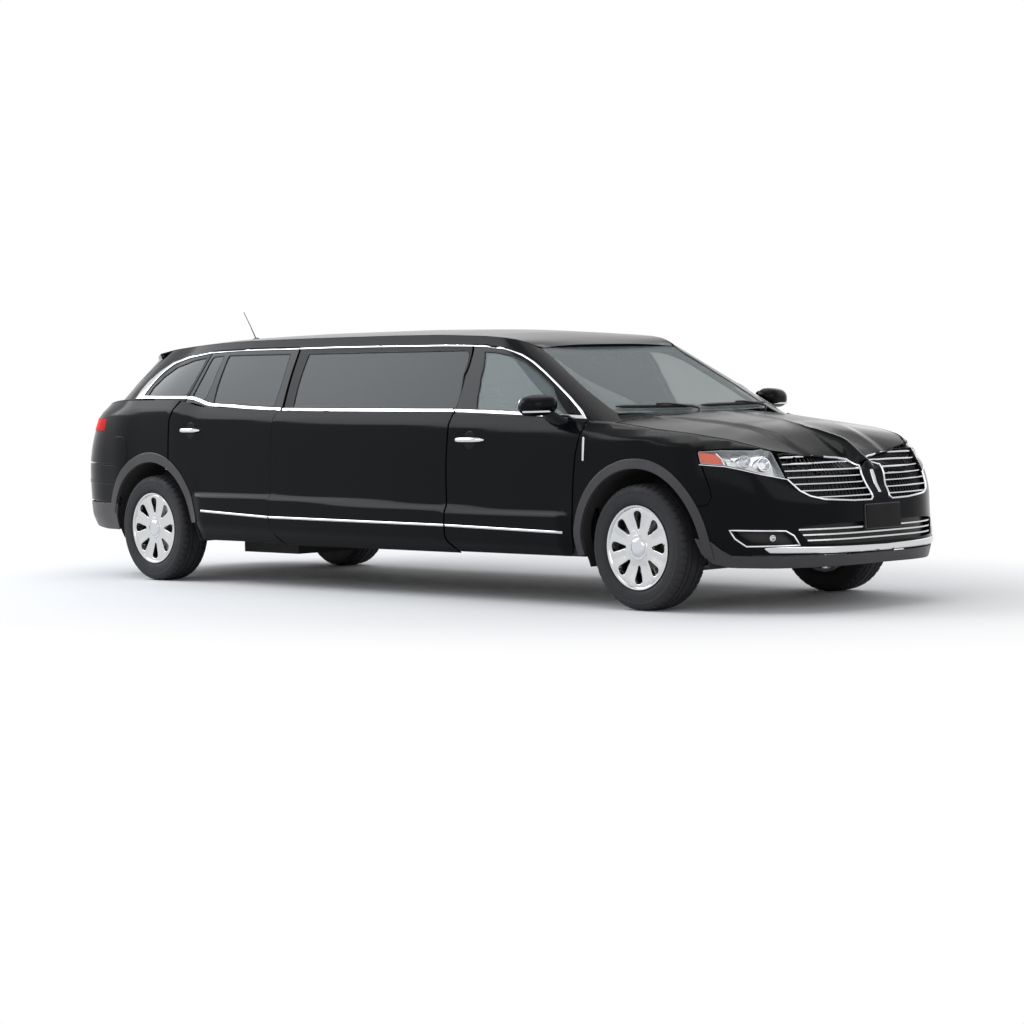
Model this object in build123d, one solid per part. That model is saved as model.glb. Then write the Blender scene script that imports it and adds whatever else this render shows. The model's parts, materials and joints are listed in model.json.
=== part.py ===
"""Stretch limousine: a 70-inch stretch of a long estate-type luxury car.

Millimetres. +X forward, +Y to the car's left, +Z up, origin on the ground
under the middle of the body. One STEP file per piece in parts/.
"""
import os
from math import asin, cos, radians, sin, sqrt

from build123d import *

os.makedirs("parts", exist_ok=True)

# ---------------------------------------------------------------- driving sizes
WHEELBASE = 4773.0          # 2995 base car + 1778 stretch
FRONT_OVERHANG = 1100.0     # front axle to nose
REAR_OVERHANG = 1178.0      # rear axle to tail
TRACK = 1655.0
TYRE_R = 370.5              # 235/55 R19
TYRE_W = 235.0
RIM_R = 241.3               # 19-inch bead seat
FIT = 3.0                   # seam between two fixed panels
FRAME_T = 46.0              # window frame and pillar, outside to inside
SKIN_T = 24.0               # hood, fender and fascia with their inner panels
GLASS_T = 5.0
FLOOR_Z = 300.0             # underside of the floor
FLOOR_T = 40.0
CARGO_Z = 600.0             # top of the raised floor over the rear axle
DOOR_Z = 296.0

AXLE_F = (WHEELBASE + REAR_OVERHANG - FRONT_OVERHANG) / 2   # x of front axle
AXLE_R = AXLE_F - WHEELBASE                                  # x of rear axle
NOSE_X = AXLE_F + FRONT_OVERHANG
TAIL_X = AXLE_R - REAR_OVERHANG
AXLE_Z = TYRE_R
WHEEL_Y = TRACK / 2

# x of the places that the panels share, measured from the front axle
COWL_X = AXLE_F - 352.0            # foot of the windshield on the middle line
FIREWALL_X = AXLE_F - 640.0
ARCH_F_R = 462.0                   # inner radius of the front wheel arch
ARCH_R_R = 466.0


# ---------------------------------------------------------------- drawing help
def corners_to_face(corners, place):
    """Closed face from (a, b, radius) corners; place maps (a, b) to a point."""
    n = len(corners)
    edges, ends = [], []
    for i, (a, b, r) in enumerate(corners):
        pa, pb = corners[i - 1][:2], corners[(i + 1) % n][:2]
        ua, ub = (pa[0] - a, pa[1] - b), (pb[0] - a, pb[1] - b)
        la, lb = sqrt(ua[0] ** 2 + ua[1] ** 2), sqrt(ub[0] ** 2 + ub[1] ** 2)
        ua, ub = (ua[0] / la, ua[1] / la), (ub[0] / lb, ub[1] / lb)
        if r <= 0:
            ends.append(((a, b), None, (a, b)))
            continue
        cosang = max(-1.0, min(1.0, ua[0] * ub[0] + ua[1] * ub[1]))
        half = sqrt((1 - cosang) / 2), sqrt((1 + cosang) / 2)
        d = min(r * half[1] / half[0], 0.48 * la, 0.48 * lb)
        r = d * half[0] / half[1]
        bis = (ua[0] + ub[0], ua[1] + ub[1])
        lbis = sqrt(bis[0] ** 2 + bis[1] ** 2)
        m = (r / half[0] - r) / lbis
        ends.append(((a + ua[0] * d, b + ua[1] * d),
                     (a + bis[0] * m, b + bis[1] * m),
                     (a + ub[0] * d, b + ub[1] * d)))
    for i, (start, mid, end) in enumerate(ends):
        if mid is not None:
            edges.append(ThreePointArc(place(*start), place(*mid), place(*end)))
        nxt = ends[(i + 1) % n][0]
        if abs(end[0] - nxt[0]) + abs(end[1] - nxt[1]) > 1e-6:
            edges.append(Line(place(*end), place(*nxt)))
    return Face(Wire(edges))


def full(points):
    """Give every bare (a, b) corner a radius of nought."""
    return [(p[0], p[1], p[2] if len(p) > 2 else 0.0) for p in points]


def side(points, y0, y1):
    """Prism from an XZ outline between two y planes."""
    face = corners_to_face(full(points), lambda a, b: Vector(a, y0, b))
    return Solid.extrude(face, Vector(0, y1 - y0, 0))


def plan(points, z0, z1):
    """Prism from an XY outline between two heights."""
    face = corners_to_face(full(points), lambda a, b: Vector(a, b, z0))
    return Solid.extrude(face, Vector(0, 0, z1 - z0))


def cross(points, x0, x1):
    """Prism from a YZ outline between two stations."""
    face = corners_to_face(full(points), lambda a, b: Vector(x0, a, b))
    return Solid.extrude(face, Vector(x1 - x0, 0, 0))


def grown(points, d):
    """Outline with each straight side moved outward by d (inward if negative)."""
    pts = [(p[0], p[1]) for p in points]
    area = sum(a[0] * b[1] - b[0] * a[1] for a, b in zip(pts, pts[1:] + pts[:1]))
    sign = 1.0 if area > 0 else -1.0
    lines = []
    for a, b in zip(pts, pts[1:] + pts[:1]):
        ux, uy = b[0] - a[0], b[1] - a[1]
        length = sqrt(ux * ux + uy * uy)
        nx, ny = sign * uy / length, -sign * ux / length
        lines.append(((a[0] + nx * d, a[1] + ny * d), (ux, uy)))
    out = []
    for i, (p, u) in enumerate(lines):
        q, v = lines[i - 1]
        den = v[0] * u[1] - v[1] * u[0]
        if abs(den) < 1e-9 * (abs(v[0]) + abs(v[1])) * (abs(u[0]) + abs(u[1])):
            out.append((p[0], p[1], 0.0))
            continue
        s = ((p[0] - q[0]) * u[1] - (p[1] - q[1]) * u[0]) / den
        r = points[i][2] if len(points[i]) > 2 else 0.0
        out.append((q[0] + s * v[0], q[1] + s * v[1], r))
    return out


def at_front(points):
    """(x, ...) rows measured from the front axle, moved into the part's frame."""
    return [(AXLE_F + p[0],) + tuple(p[1:]) for p in points]


def block(x0, x1, y0, y1, z0, z1):
    return Solid.make_box(x1 - x0, y1 - y0, z1 - z0, Plane((x0, y0, z0)))


def rod_y(x, z, r, y0, y1):
    """Cylinder along Y."""
    return Solid.make_cylinder(r, y1 - y0, Plane((x, y0, z), z_dir=(0, 1, 0)))


def tube(points, r):
    """Round bar through points, with a ball at each bend."""
    out = []
    for a, b in zip(points, points[1:]):
        a, b = Vector(*a), Vector(*b)
        out.append(Solid.make_cylinder(r, (b - a).length,
                                       Plane(a, z_dir=(b - a).normalized())))
    for p in points[1:-1]:
        out.append(Solid.make_sphere(r, Plane(p), -90, 90, 360))
    return fuse(*out)


def fuse(*shapes):
    out = shapes[0]
    for s in shapes[1:]:
        out = out + s
    return out


def mirrored(shape):
    return shape.mirror(Plane.XZ)


def save(shape, name):
    solids = [s for s in shape.solids() if s.volume > 200.0]
    kept = solids[0] if len(solids) == 1 else Compound(solids)
    kept.label = name
    export_step(kept, f"parts/{name}.step")


# ---------------------------------------------------------------- body surface
# Each row: distance from front axle (+ forward), then half-width and height at
# the rocker, lower crease, waist, shoulder crease and belt (or hood edge), and
# the height of the crown on the middle line.
NOSE_ROWS = [
    #  x     y0   z0   y1   z1   y2   z2   y3   z3   y4   z4   zc
    (1100,  80, 262, 150, 420, 200, 590, 150, 620, 100, 645,  655),
    (1060, 420, 258, 440, 420, 440, 600, 340, 660, 200, 700,  715),
    (1000, 520, 256, 555, 420, 545, 605, 505, 690, 290, 800,  825),
    (900,  650, 258, 690, 420, 680, 615, 625, 755, 490, 880,  932),
    (800,  728, 263, 778, 430, 782, 636, 735, 830, 610, 918,  985),
    (600,  810, 276, 865, 440, 880, 680, 845, 920, 740, 985, 1056),
    (300,  865, 286, 925, 450, 945, 700, 915, 980, 800, 1032, 1094),
    (-60,  895, 288, 950, 450, 964, 720, 938, 1012, 845, 1068, 1130),
    (-352, 905, 288, 957, 450, 965, 740, 944, 1028, 872, 1100, 1158),
]
CABIN_ROWS = [
    (-352, 905, 288, 957, 450, 965, 740, 944, 1028, 872, 1100, 1158),
    (-520, 905, 288, 957, 450, 965, 740, 946, 1040, 905, 1130, 1160),
    (-1620, 905, 288, 957, 450, 965, 750, 948, 1092, 915, 1170, 1180),
    (-3380, 905, 290, 957, 455, 965, 770, 948, 1128, 912, 1205, 1215),
    (-4230, 905, 292, 957, 460, 965, 790, 944, 1156, 908, 1228, 1240),
]
TAIL_ROWS = [
    (-4230, 905, 292, 957, 460, 965, 790, 944, 1156, 908, 1228, 1240),
    (-4480, 905, 293, 957, 460, 965, 800, 940, 1200, 902, 1284, 1290),
    (-5000, 890, 296, 945, 460, 955, 800, 918, 1196, 872, 1284, 1290),
    (-5300, 868, 300, 925, 460, 938, 790, 880, 1188, 815, 1272, 1284),
    (-5560, 815, 312, 880, 460, 892, 770, 800, 1176, 715, 1250, 1276),
    (-5760, 715, 330, 780, 450, 795, 740, 690, 1160, 560, 1225, 1262),
    (-5900, 520, 352, 600, 440, 620, 700, 520, 1100, 400, 1190, 1235),
    (-5951, 330, 372, 400, 440, 420, 680, 330, 900, 250, 1120, 1190),
]


def half_section(row, inset=0.0, drop=0.0):
    """Right half of a closed lower-body section, drawn in by inset and drop."""
    x = AXLE_F + row[0]
    pts = [(row[i] - inset, row[i + 1]) for i in (1, 3, 5, 7, 9)]
    pts[3] = (pts[3][0], pts[3][1] - 0.6 * drop)
    pts[4] = (pts[4][0], pts[4][1] - drop)
    crown = row[11] - drop
    y4, z4 = pts[4]
    rise = crown - z4
    radius = (y4 * y4 + rise * rise) / (2 * rise)
    phi = asin(y4 / radius) / 2
    middle = Vector(x, -radius * sin(phi), crown - radius + radius * cos(phi))
    line = [Vector(x, 0, pts[0][1])] + [Vector(x, -y, z) for y, z in pts]
    edges = [Line(p, q) for p, q in zip(line, line[1:])]
    edges.append(ThreePointArc(line[-1], middle, Vector(x, 0, crown)))
    edges.append(Line(Vector(x, 0, crown), line[0]))
    return Wire(edges)


def half_body(rows, inset=0.0, drop=0.0):
    """Right half of the lower body through some of its sections."""
    return Solid.make_loft([half_section(row, inset, drop) for row in rows], ruled=True)


# Greenhouse: half outlines in plan at the belt and at the roof's edge,
# from the middle of the windshield round to the middle of the backlight.
GREEN_BASE_Z = 1080.0
GREEN_TOP_Z = 1625.0
GREEN_LID_Z = 1730.0        # the same slopes carried on above the crown
GREEN_BASE = [(-198, 0), (-215, 450), (-275, 740), (-345, 868), (-560, 925),
              (-1700, 948), (-4000, 945), (-4900, 976), (-5267, 954), (-5580, 820),
              (-5730, 480), (-5795, 0)]
GREEN_TOP = [(-1300, 0), (-1290, 330), (-1245, 600), (-1330, 660), (-1500, 680),
             (-2000, 700), (-3900, 705), (-4500, 680), (-4900, 610), (-5150, 500),
             (-5330, 320), (-5380, 0)]
ROOF_ROWS = [  # distance from front axle, half width, height there, crown height
    (-700, 860, 1420, 1458), (-1209, 860, 1523, 1602), (-1700, 860, 1566, 1665),
    (-2500, 860, 1575, 1698), (-3600, 860, 1575, 1700), (-4500, 860, 1564, 1682),
    (-5100, 860, 1548, 1650), (-5560, 860, 1528, 1618)]


def half_green(inset=0.0):
    """Right half of the solid under the glass and roof, drawn in by inset."""
    wires = []
    cx = AXLE_F - 3000.0
    k = (GREEN_LID_Z - GREEN_TOP_Z) / (GREEN_TOP_Z - GREEN_BASE_Z)
    lid = [(t[0] + k * (t[0] - b[0]), t[1] + k * (t[1] - b[1]))
           for b, t in zip(GREEN_BASE, GREEN_TOP)]
    for half, z in ((GREEN_BASE, GREEN_BASE_Z), (lid, GREEN_LID_Z)):
        pts = []
        for x, y in half:
            end = 1.0 if y < 400 else max(0.0, 1.0 - (y - 400) / 400.0)
            px = AXLE_F + x
            px -= 1.6 * inset * end * (1 if px > cx else -1)
            pts.append(Vector(px, -max(0.0, y - inset), z))
        edges = [Line(p, q) for p, q in zip(pts, pts[1:] + pts[:1])]
        wires.append(Wire(edges))
    return Solid.make_loft(wires, ruled=True) & roof_tool(inset)


def roof_tool(inset=0.0):
    """Solid under the roof's crown."""
    wires = []
    for x, half, edge, crown in ROOF_ROWS:
        px = AXLE_F + x
        a, b = Vector(px, -half, edge - inset), Vector(px, half, edge - inset)
        wires.append(Wire([
            ThreePointArc(a, Vector(px, 0, crown - inset), b),
            Line(b, Vector(px, half, 900)),
            Line(Vector(px, half, 900), Vector(px, -half, 900)),
            Line(Vector(px, -half, 900), a)]))
    tool = Solid.make_loft(wires, ruled=True)
    return tool + block(TAIL_X - 100, COWL_X + 300, -1100, 1100, 900, 1405 - inset)


# ---------------------------------------------------------------- shut lines
# Side-view outlines (x from front axle, z, corner radius) shared by a panel
# and the opening it closes.
FRONT_DOOR = at_front([
    (-428, 1120), (-473, 916), (-495, 688), (-521, 400), (-545, DOOR_Z, 30),
    (-1600, DOOR_Z, 40), (-1638, 430), (-1618, 910), (-1611, 1094), (-1576, 1171),
    (-1594, 1348), (-1582, 1552), (-1290, 1516), (-1050, 1449), (-850, 1354),
    (-640, 1240), (-470, 1146)])
REAR_DOOR = at_front([
    (-3329, 1221), (-3343, 1191), (-3372, 1133), (-3379, 961), (-3398, 638),
    (-3398, DOOR_Z, 40), (-4180, DOOR_Z, 20), (-4206, 420), (-4252, 620),
    (-4360, 790), (-4533, 930), (-4536, 1131), (-4400, 1291), (-4296, 1562),
    (-3341, 1562)])
FRONT_GLASS = at_front([
    (-700, 1226), (-1440, 1192), (-1490, 1508), (-1290, 1484), (-1050, 1415),
    (-868, 1328)])
REAR_GLASS = at_front([
    (-3421, 1228), (-4137, 1262), (-4300, 1300), (-4215, 1534), (-3404, 1534)])
MID_GLASS = at_front([(-1660, 1196), (-3225, 1230), (-3200, 1542), (-1668, 1536)])
QUARTER_GLASS = at_front([
    (-4446, 1310), (-4352, 1542), (-4643, 1502), (-4824, 1412), (-4900, 1325)])
HOOD = at_front([   # plan outline, half: x, y
    (-330, 0), (-318, 500), (-300, 800), (60, 815), (420, 770), (640, 700),
    (768, 600), (842, 241), (890, 92), (968, 52), (984, 0)])
GATE_REAR = [       # rear view outline, half: y, z
    (0, 742), (610, 742), (660, 900), (672, 1200), (672, 1296), (642, 1480), (600, 1640),
    (0, 1720)]
GATE_FRONT_X = AXLE_R - 290.0
LAYER = 12.0        # depth of a moving panel's outer, closely fitted layer
REVEAL = 24.0       # how much smaller its inner layer is, all round
PANEL_GAP = 8.0


def both(half):
    """Full outline, mirrored about the middle line, from a (., y) half."""
    return half + [(p[0], -p[1]) for p in reversed(half) if p[1] > 0]


MID_ROWS = [NOSE_ROWS[-2]] + CABIN_ROWS + TAIL_ROWS[1:3]
REAR_ROWS = CABIN_ROWS[-1:] + TAIL_ROWS[1:]
FRONT_ROWS = NOSE_ROWS + CABIN_ROWS[1:2]
CABIN_Y = 838.0             # inner face of the fixed sides below the belt
DOOR_Y = 848.0              # inner face of the doors below the belt
SILL_Y = 842.0
WINDSHIELD = at_front([(-200, 0), (-200, 705), (-700, 672), (-1238, 590), (-1238, 0)])
ROOF_EDGE = at_front([      # side view: the roof panel is what lies above
    (-1150, 1552), (-1277, 1584), (-1569, 1606), (-3992, 1614), (-4400, 1608),
    (-4700, 1580), (-5200, 1536)])


ROOF_Y = 560.0              # the roof panel takes all that lies inside this
SEAM_TOL = 0.001            # the two halves of a piece meet on the middle plane


def cut(shape, *tools):
    for tool in tools:
        shape = shape - tool
    return shape


def both(half_shape):
    """A piece across the middle line, from its right half."""
    return half_shape.fuse(mirrored(half_shape), tol=SEAM_TOL)


def arch(x, r, y0, y1):
    return rod_y(x, AXLE_Z, r, y0, y1)


def arch_cuts(y_in_front=-500.0, y_in_rear=-640.0):
    out = []
    for x, r, y in ((AXLE_F, ARCH_F_R, y_in_front), (AXLE_R, ARCH_R_R, y_in_rear)):
        out.append(arch(x, r, -1100, y))
        out.append(block(x - r, x + r, -1100, y, 0, AXLE_Z))
    return out


def right(*limits):
    return block(*limits)


def both_sides(shape, name):
    save(shape, name + "_right")
    save(mirrored(shape), name + "_left")


def tyre():
    """Tyre about Y, with a flat tread, rounded shoulders and bulged walls."""
    h, w, bead = TYRE_R, TYRE_W / 2, RIM_R - 8
    half = [(w - 25, bead), (w - 25, bead + 16), (w - 5, bead + 32), (w, bead + 62),
            (w - 9, h - 24, 16), (w - 32, h)]
    pts = half + [(-p[0],) + p[1:] for p in reversed(half)]
    face = corners_to_face(full(pts), lambda a, b: Vector(0, a, b))
    return Solid.revolve(face, 360, Axis((0, 0, 0), (0, 1, 0)))


def rim(out):
    """Alloy wheel, hub and brake disc about Y; out is +1 where +Y is outside."""
    w = TYRE_W / 2
    seat, lip = RIM_R - 9, RIM_R + 7
    barrel = [(-w + 12, seat - 8), (-w + 12, lip), (-w + 23, lip), (-w + 23, seat),
              (w - 23, seat), (w - 23, lip), (w - 12, lip), (w - 12, seat - 8)]
    dish = [(w - 14, RIM_R - 14), (w - 30, RIM_R - 14), (w - 52, 150), (w - 58, 88),
            (w - 70, 78), (w - 70, 0), (w - 16, 0), (w - 16, 42), (w - 22, 78),
            (w - 24, 90), (w - 22, 150)]
    parts = []
    for pts in (barrel, dish):
        face = corners_to_face(full(pts), lambda a, b: Vector(0, a, b))
        parts.append(Solid.revolve(face, 360, Axis((0, 0, 0), (0, 1, 0))))
    disc = parts[1]
    for i in range(8):
        ang = radians(22.5 + 45 * i)
        # window: a rounded wedge between two spokes
        ring = [(98, -0.17, 12), (208, -0.27, 26), (208, 0.27, 26), (98, 0.17, 12)]
        poly = [(r * cos(ang + a), r * sin(ang + a), rad) for r, a, rad in ring]
        face = corners_to_face(poly, lambda a, b: Vector(a, 0, b))
        disc = disc - Solid.extrude(face, Vector(0, 140, 0))
    hub = Solid.make_cylinder(74, 60, Plane((0, w - 130, 0), z_dir=(0, 1, 0)))
    rotor = Solid.make_cylinder(165, 26, Plane((0, w - 124, 0), z_dir=(0, 1, 0)))
    wheel = fuse(parts[0], disc, hub, rotor)
    return wheel if out > 0 else mirrored(wheel)


def make_sides():
    """Doors, glass, fixed sides and roof, all from the right half."""
    lower = {d: half_body(MID_ROWS, d, d) for d in (0.0, LAYER)}
    green = {d: half_green(d) for d in (0.0, GLASS_T, LAYER, FRAME_T)}
    full_half = {d: lower[d] + green[d] for d in (0.0, LAYER)}
    door_void = block(-4000, 4000, -DOOR_Y, 0, 0, 1150) + green[FRAME_T]
    behind_gate = block(TAIL_X - 60, AXLE_F - 4990, -1100, 0, 0, 2000)
    skin = full_half[0.0] - full_half[LAYER]
    inner = full_half[LAYER] - door_void
    pane_shell = green[0.0] - green[GLASS_T]
    for outline, window, name in ((FRONT_DOOR, FRONT_GLASS, "front"),
                                  (REAR_DOOR, REAR_GLASS, "rear")):
        away = block(-4000, 4000, -560, 0, 0, 2000)
        door = (skin & side(grown(outline, -PANEL_GAP / 2), -1100, 0)) + (
            inner & side(grown(outline, -REVEAL), -1100, 0))
        door = cut(door, side(window, -1100, 0), away, *arch_cuts())
        both_sides(door, "door_" + name)
        both_sides(pane_shell & side(grown(window, -FIT), -1100, 0), "door_glass_" + name)
    fixed = [pane_shell & side(grown(window, -FIT), -1100, -300)
             for window in (MID_GLASS, QUARTER_GLASS)]
    panes = [s for f in fixed for s in f.solids()]
    save(Compound(panes + [mirrored(s) for s in panes]), "side_glass")

    # fixed side: pillars, rail, middle panel and quarter, joined by the sill
    void = block(-4000, 4000, -CABIN_Y, 0, 0, 1150) + green[FRAME_T]
    shell = full_half[0.0] - void
    above_roof = side(ROOF_EDGE + [(ROOF_EDGE[-1][0], 1900), (ROOF_EDGE[0][0], 1900)],
                      -1100, 0)
    door_cuts = [side(grown(o, PANEL_GAP / 2), -1100, 0) for o in (FRONT_DOOR, REAR_DOOR)]
    screen = plan([(p[0], -p[1]) for p in WINDSHIELD], 1110, 1900)
    fixed = cut(shell, above_roof, screen, behind_gate, *door_cuts,
                side(MID_GLASS, -1100, 0), side(QUARTER_GLASS, -1100, 0),
                block(AXLE_F - 545, 4000, -1100, 0, 0, 1134),
                block(AXLE_F - 600, 4000, -773, 0, 0, 1172),
                block(-4000, 4000, -ROOF_Y - FIT, 0, 1200, 1900),
                block(-4000, AXLE_R - 300, -1100, 0, 0, 690), *arch_cuts())
    pillar_x = AXLE_F - ARCH_F_R - 22
    pillar = block(pillar_x - 66, pillar_x, -SILL_Y, -772, FLOOR_Z, 1120)
    sill = block(AXLE_R + 470, pillar_x, -SILL_Y, -772, FLOOR_Z, FLOOR_Z + 120)
    house = cut(arch(AXLE_R, ARCH_R_R + 18, -CABIN_Y - 12, -640),
                arch(AXLE_R, ARCH_R_R + 8, -1000, -646),
                arch(AXLE_R, 100, -700, -600),
                block(-4000, AXLE_R - 300, -1000, -815, 0, 1000),
                block(-4000, 4000, -1000, 0, -200, FLOOR_Z + 60))
    fixed = fuse(fixed, pillar, sill, house)

    roof = (green[0.0] - green[FRAME_T]) & (
        above_roof + block(-4000, 4000, -ROOF_Y, 0, 1500, 1900))
    roof = cut(roof, plan([(p[0], -p[1]) for p in WINDSHIELD], 1110, 1900),
               block(TAIL_X - 60, GATE_FRONT_X + PANEL_GAP / 2, -1100, 0, 0, 2000))
    save(both(roof), "roof")
    glass = pane_shell & plan([(AXLE_F - 200, 0), (AXLE_F - 200, -702), (AXLE_F - 700, -669),
                               (AXLE_F - 1235, -587), (AXLE_F - 1235, 0)], 1162, 1900)
    save(both(glass), "windshield")
    return green, fixed


def make_tail(green, fixed):
    rear = half_body(REAR_ROWS)
    solid = (rear + green[0.0]) & block(TAIL_X - 60, AXLE_F - 4300, -1100, 0, 0, 2000)
    inside = (half_body(REAR_ROWS, 60, 60) & block(TAIL_X + 70, 4000, -1100, 0, 560, 1200)
              ) + green[FRAME_T]
    shell = solid - inside
    gate_r = [(-p[0], p[1]) for p in GATE_REAR]
    gate_outline = [(0, GATE_REAR[0][1])] + gate_r[1:]
    gate_cut = cross(grown(gate_outline, PANEL_GAP / 2), TAIL_X - 60,
                     GATE_FRONT_X + PANEL_GAP / 2) & block(-4000, 4000, -1100, 0, 0, 2000)
    gate_add = cross(grown(gate_outline, -PANEL_GAP / 2), TAIL_X - 60,
                     GATE_FRONT_X - PANEL_GAP / 2) + block(
        TAIL_X - 60, GATE_FRONT_X - PANEL_GAP / 2, -40, 0, GATE_REAR[0][1] + 4, 1800)
    window = [(40, 1262), (-600, 1262), (-500, 1540), (40, 1540)]
    gate = shell & gate_add
    lamp = (gate - half_body(REAR_ROWS, 30, 30)) & block(
        TAIL_X - 60, TAIL_X + 700, -640, 0, 1085, 1185)
    gate = cut(gate, cross(window, TAIL_X - 60, GATE_FRONT_X - 110), lamp)
    save(both(gate), "liftgate")
    save(both(lamp), "gate_lamp")
    pane = (green[0.0] - green[GLASS_T]) & cross(
        [(0, 1265), (-597, 1265), (-498, 1537), (0, 1537)], TAIL_X - 60, GATE_FRONT_X - 110)
    save(both(pane), "liftgate_glass")

    quarter = cut(shell, gate_cut, block(-4000, AXLE_R, -1100, 0, 0, 693),
                  block(AXLE_F - 4990, 4000, -1100, 0, 0, 2000), *arch_cuts())
    corner = cut(quarter, side(ROOF_EDGE + [(ROOF_EDGE[-1][0], 1900),
                                            (ROOF_EDGE[0][0], 1900)], -1100, 0))
    corner = cut(corner, block(-4000, AXLE_R, -606, 0, 0, 780),
                 block(-4000, 4000, -490, 0, 0, 2000),
                 block(GATE_FRONT_X + PANEL_GAP / 2 - FIT, 4000, -ROOF_Y - FIT, 0, 1200, 1900))
    both_sides(fixed + corner, "body_side")
    bumper = cut(rear, half_body(REAR_ROWS, 45) & block(TAIL_X + 70, 4000, -1100, 0, 0, 2000),
                 block(AXLE_R - 300, 4000, -1100, 0, 0, 2000),
                 block(-4000, 4000, -1100, -603, 690, 2000),
                 block(-4000, 4000, -603, 0, 734, 2000), *arch_cuts())
    save(both(bumper), "rear_bumper")


def make_nose(green):
    solid = {d: half_body(FRONT_ROWS, d, d) for d in (0.0, LAYER, SKIN_T)}
    bay = solid[SKIN_T] & block(AXLE_F - 400, NOSE_X - 62, -1100, 0, 0, 1300)
    keep = block(COWL_X - 40, NOSE_X + 10, -1100, 0, 0, 1300)
    hood_half = [(x, -y) for x, y in HOOD]
    skin = (solid[0.0] - solid[LAYER]) & plan(grown(hood_half, -PANEL_GAP / 2), 640, 1300)
    inner = (solid[LAYER] - bay) & plan(grown(hood_half, -REVEAL), 700, 1300)
    strip = (solid[0.0] - bay) & plan([(HOOD[0][0] + 24, 0), (HOOD[0][0] + 24, -REVEAL - 4),
                                       (HOOD[-1][0] - 24, -REVEAL - 4),
                                       (HOOD[-1][0] - 24, 0)], 700, 1300)
    hood = cut(skin + inner + strip, green[0.0])
    save(both(hood), "hood")
    save(side(at_front([(-345, 1050), (-345, 1130), (-368, 1140), (-440, 1140),
                        (-440, 1050)]), -756, 756), "cowl")
    rest = cut((solid[0.0] - bay) & keep,
               plan(grown([(HOOD[0][0] - 60, 0), (HOOD[0][0] - 60, -HOOD[2][1])]
                          + hood_half[2:], PANEL_GAP / 2), 640, 1300), green[0.0], *arch_cuts())
    wing = cross([(-612, 960), (-612, 760), (-565, 693), (-519, 663), (-443, 642),
                  (-244, 626), (-62, 632), (-92, 750), (-84, 960)], NOSE_X - 420, NOSE_X + 10)
    lamp_box = cross([(-960, 938), (-820, 950), (-690, 948), (-608, 950), (-617, 856),
                      (-616, 764), (-728, 802), (-800, 830), (-846, 849), (-960, 862)],
                     AXLE_F + 440, NOSE_X + 10) - wing
    low = cross([(0, 520), (-560, 520), (-520, 380), (0, 380)], NOSE_X - 420, NOSE_X + 10)
    lamp, grille, lower = rest & lamp_box, rest & wing, rest & low
    save(Compound(lamp.solids() + mirrored(lamp).solids()), "headlamps")
    save(Compound(grille.solids() + mirrored(grille).solids()), "grille")
    save(both(lower), "lower_grille")
    rest = cut(rest, wing, low, lamp_box)
    fascia = side(at_front([(ARCH_F_R + 18, 100), (ARCH_F_R + 18, 618), (540, 626), (562, 667), (550, 725),
                            (500, 850), (500, 944), (735, 944), (735, 1300), (1200, 1300),
                            (1200, 100)]), -1100, 0)
    save(both(rest & fascia), "front_bumper")
    fender = cut(rest - fascia, side(grown(FRONT_DOOR, PANEL_GAP / 2), -1100, 0),
                 block(-4000, 4000, -500, 0, 0, 900))
    liner = cut(arch(AXLE_F, ARCH_F_R + 14, -940, -506), arch(AXLE_F, ARCH_F_R + 6, -1000, -512),
                block(-4000, 4000, -1000, 0, -200, AXLE_Z + 40))
    both_sides(fender + liner, "fender")


def make_mirrors():
    foot = plan([(AXLE_F - 700, -916), (AXLE_F - 690, -1010), (AXLE_F - 770, -1010),
                 (AXLE_F - 800, -916)], 1128, 1152)
    head = plan([(AXLE_F - 690, -960, 30), (AXLE_F - 700, -1150, 40),
                 (AXLE_F - 806, -1172, 22), (AXLE_F - 826, -965, 22)], 1140, 1272)
    both_sides(foot + head, "mirror")


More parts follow.
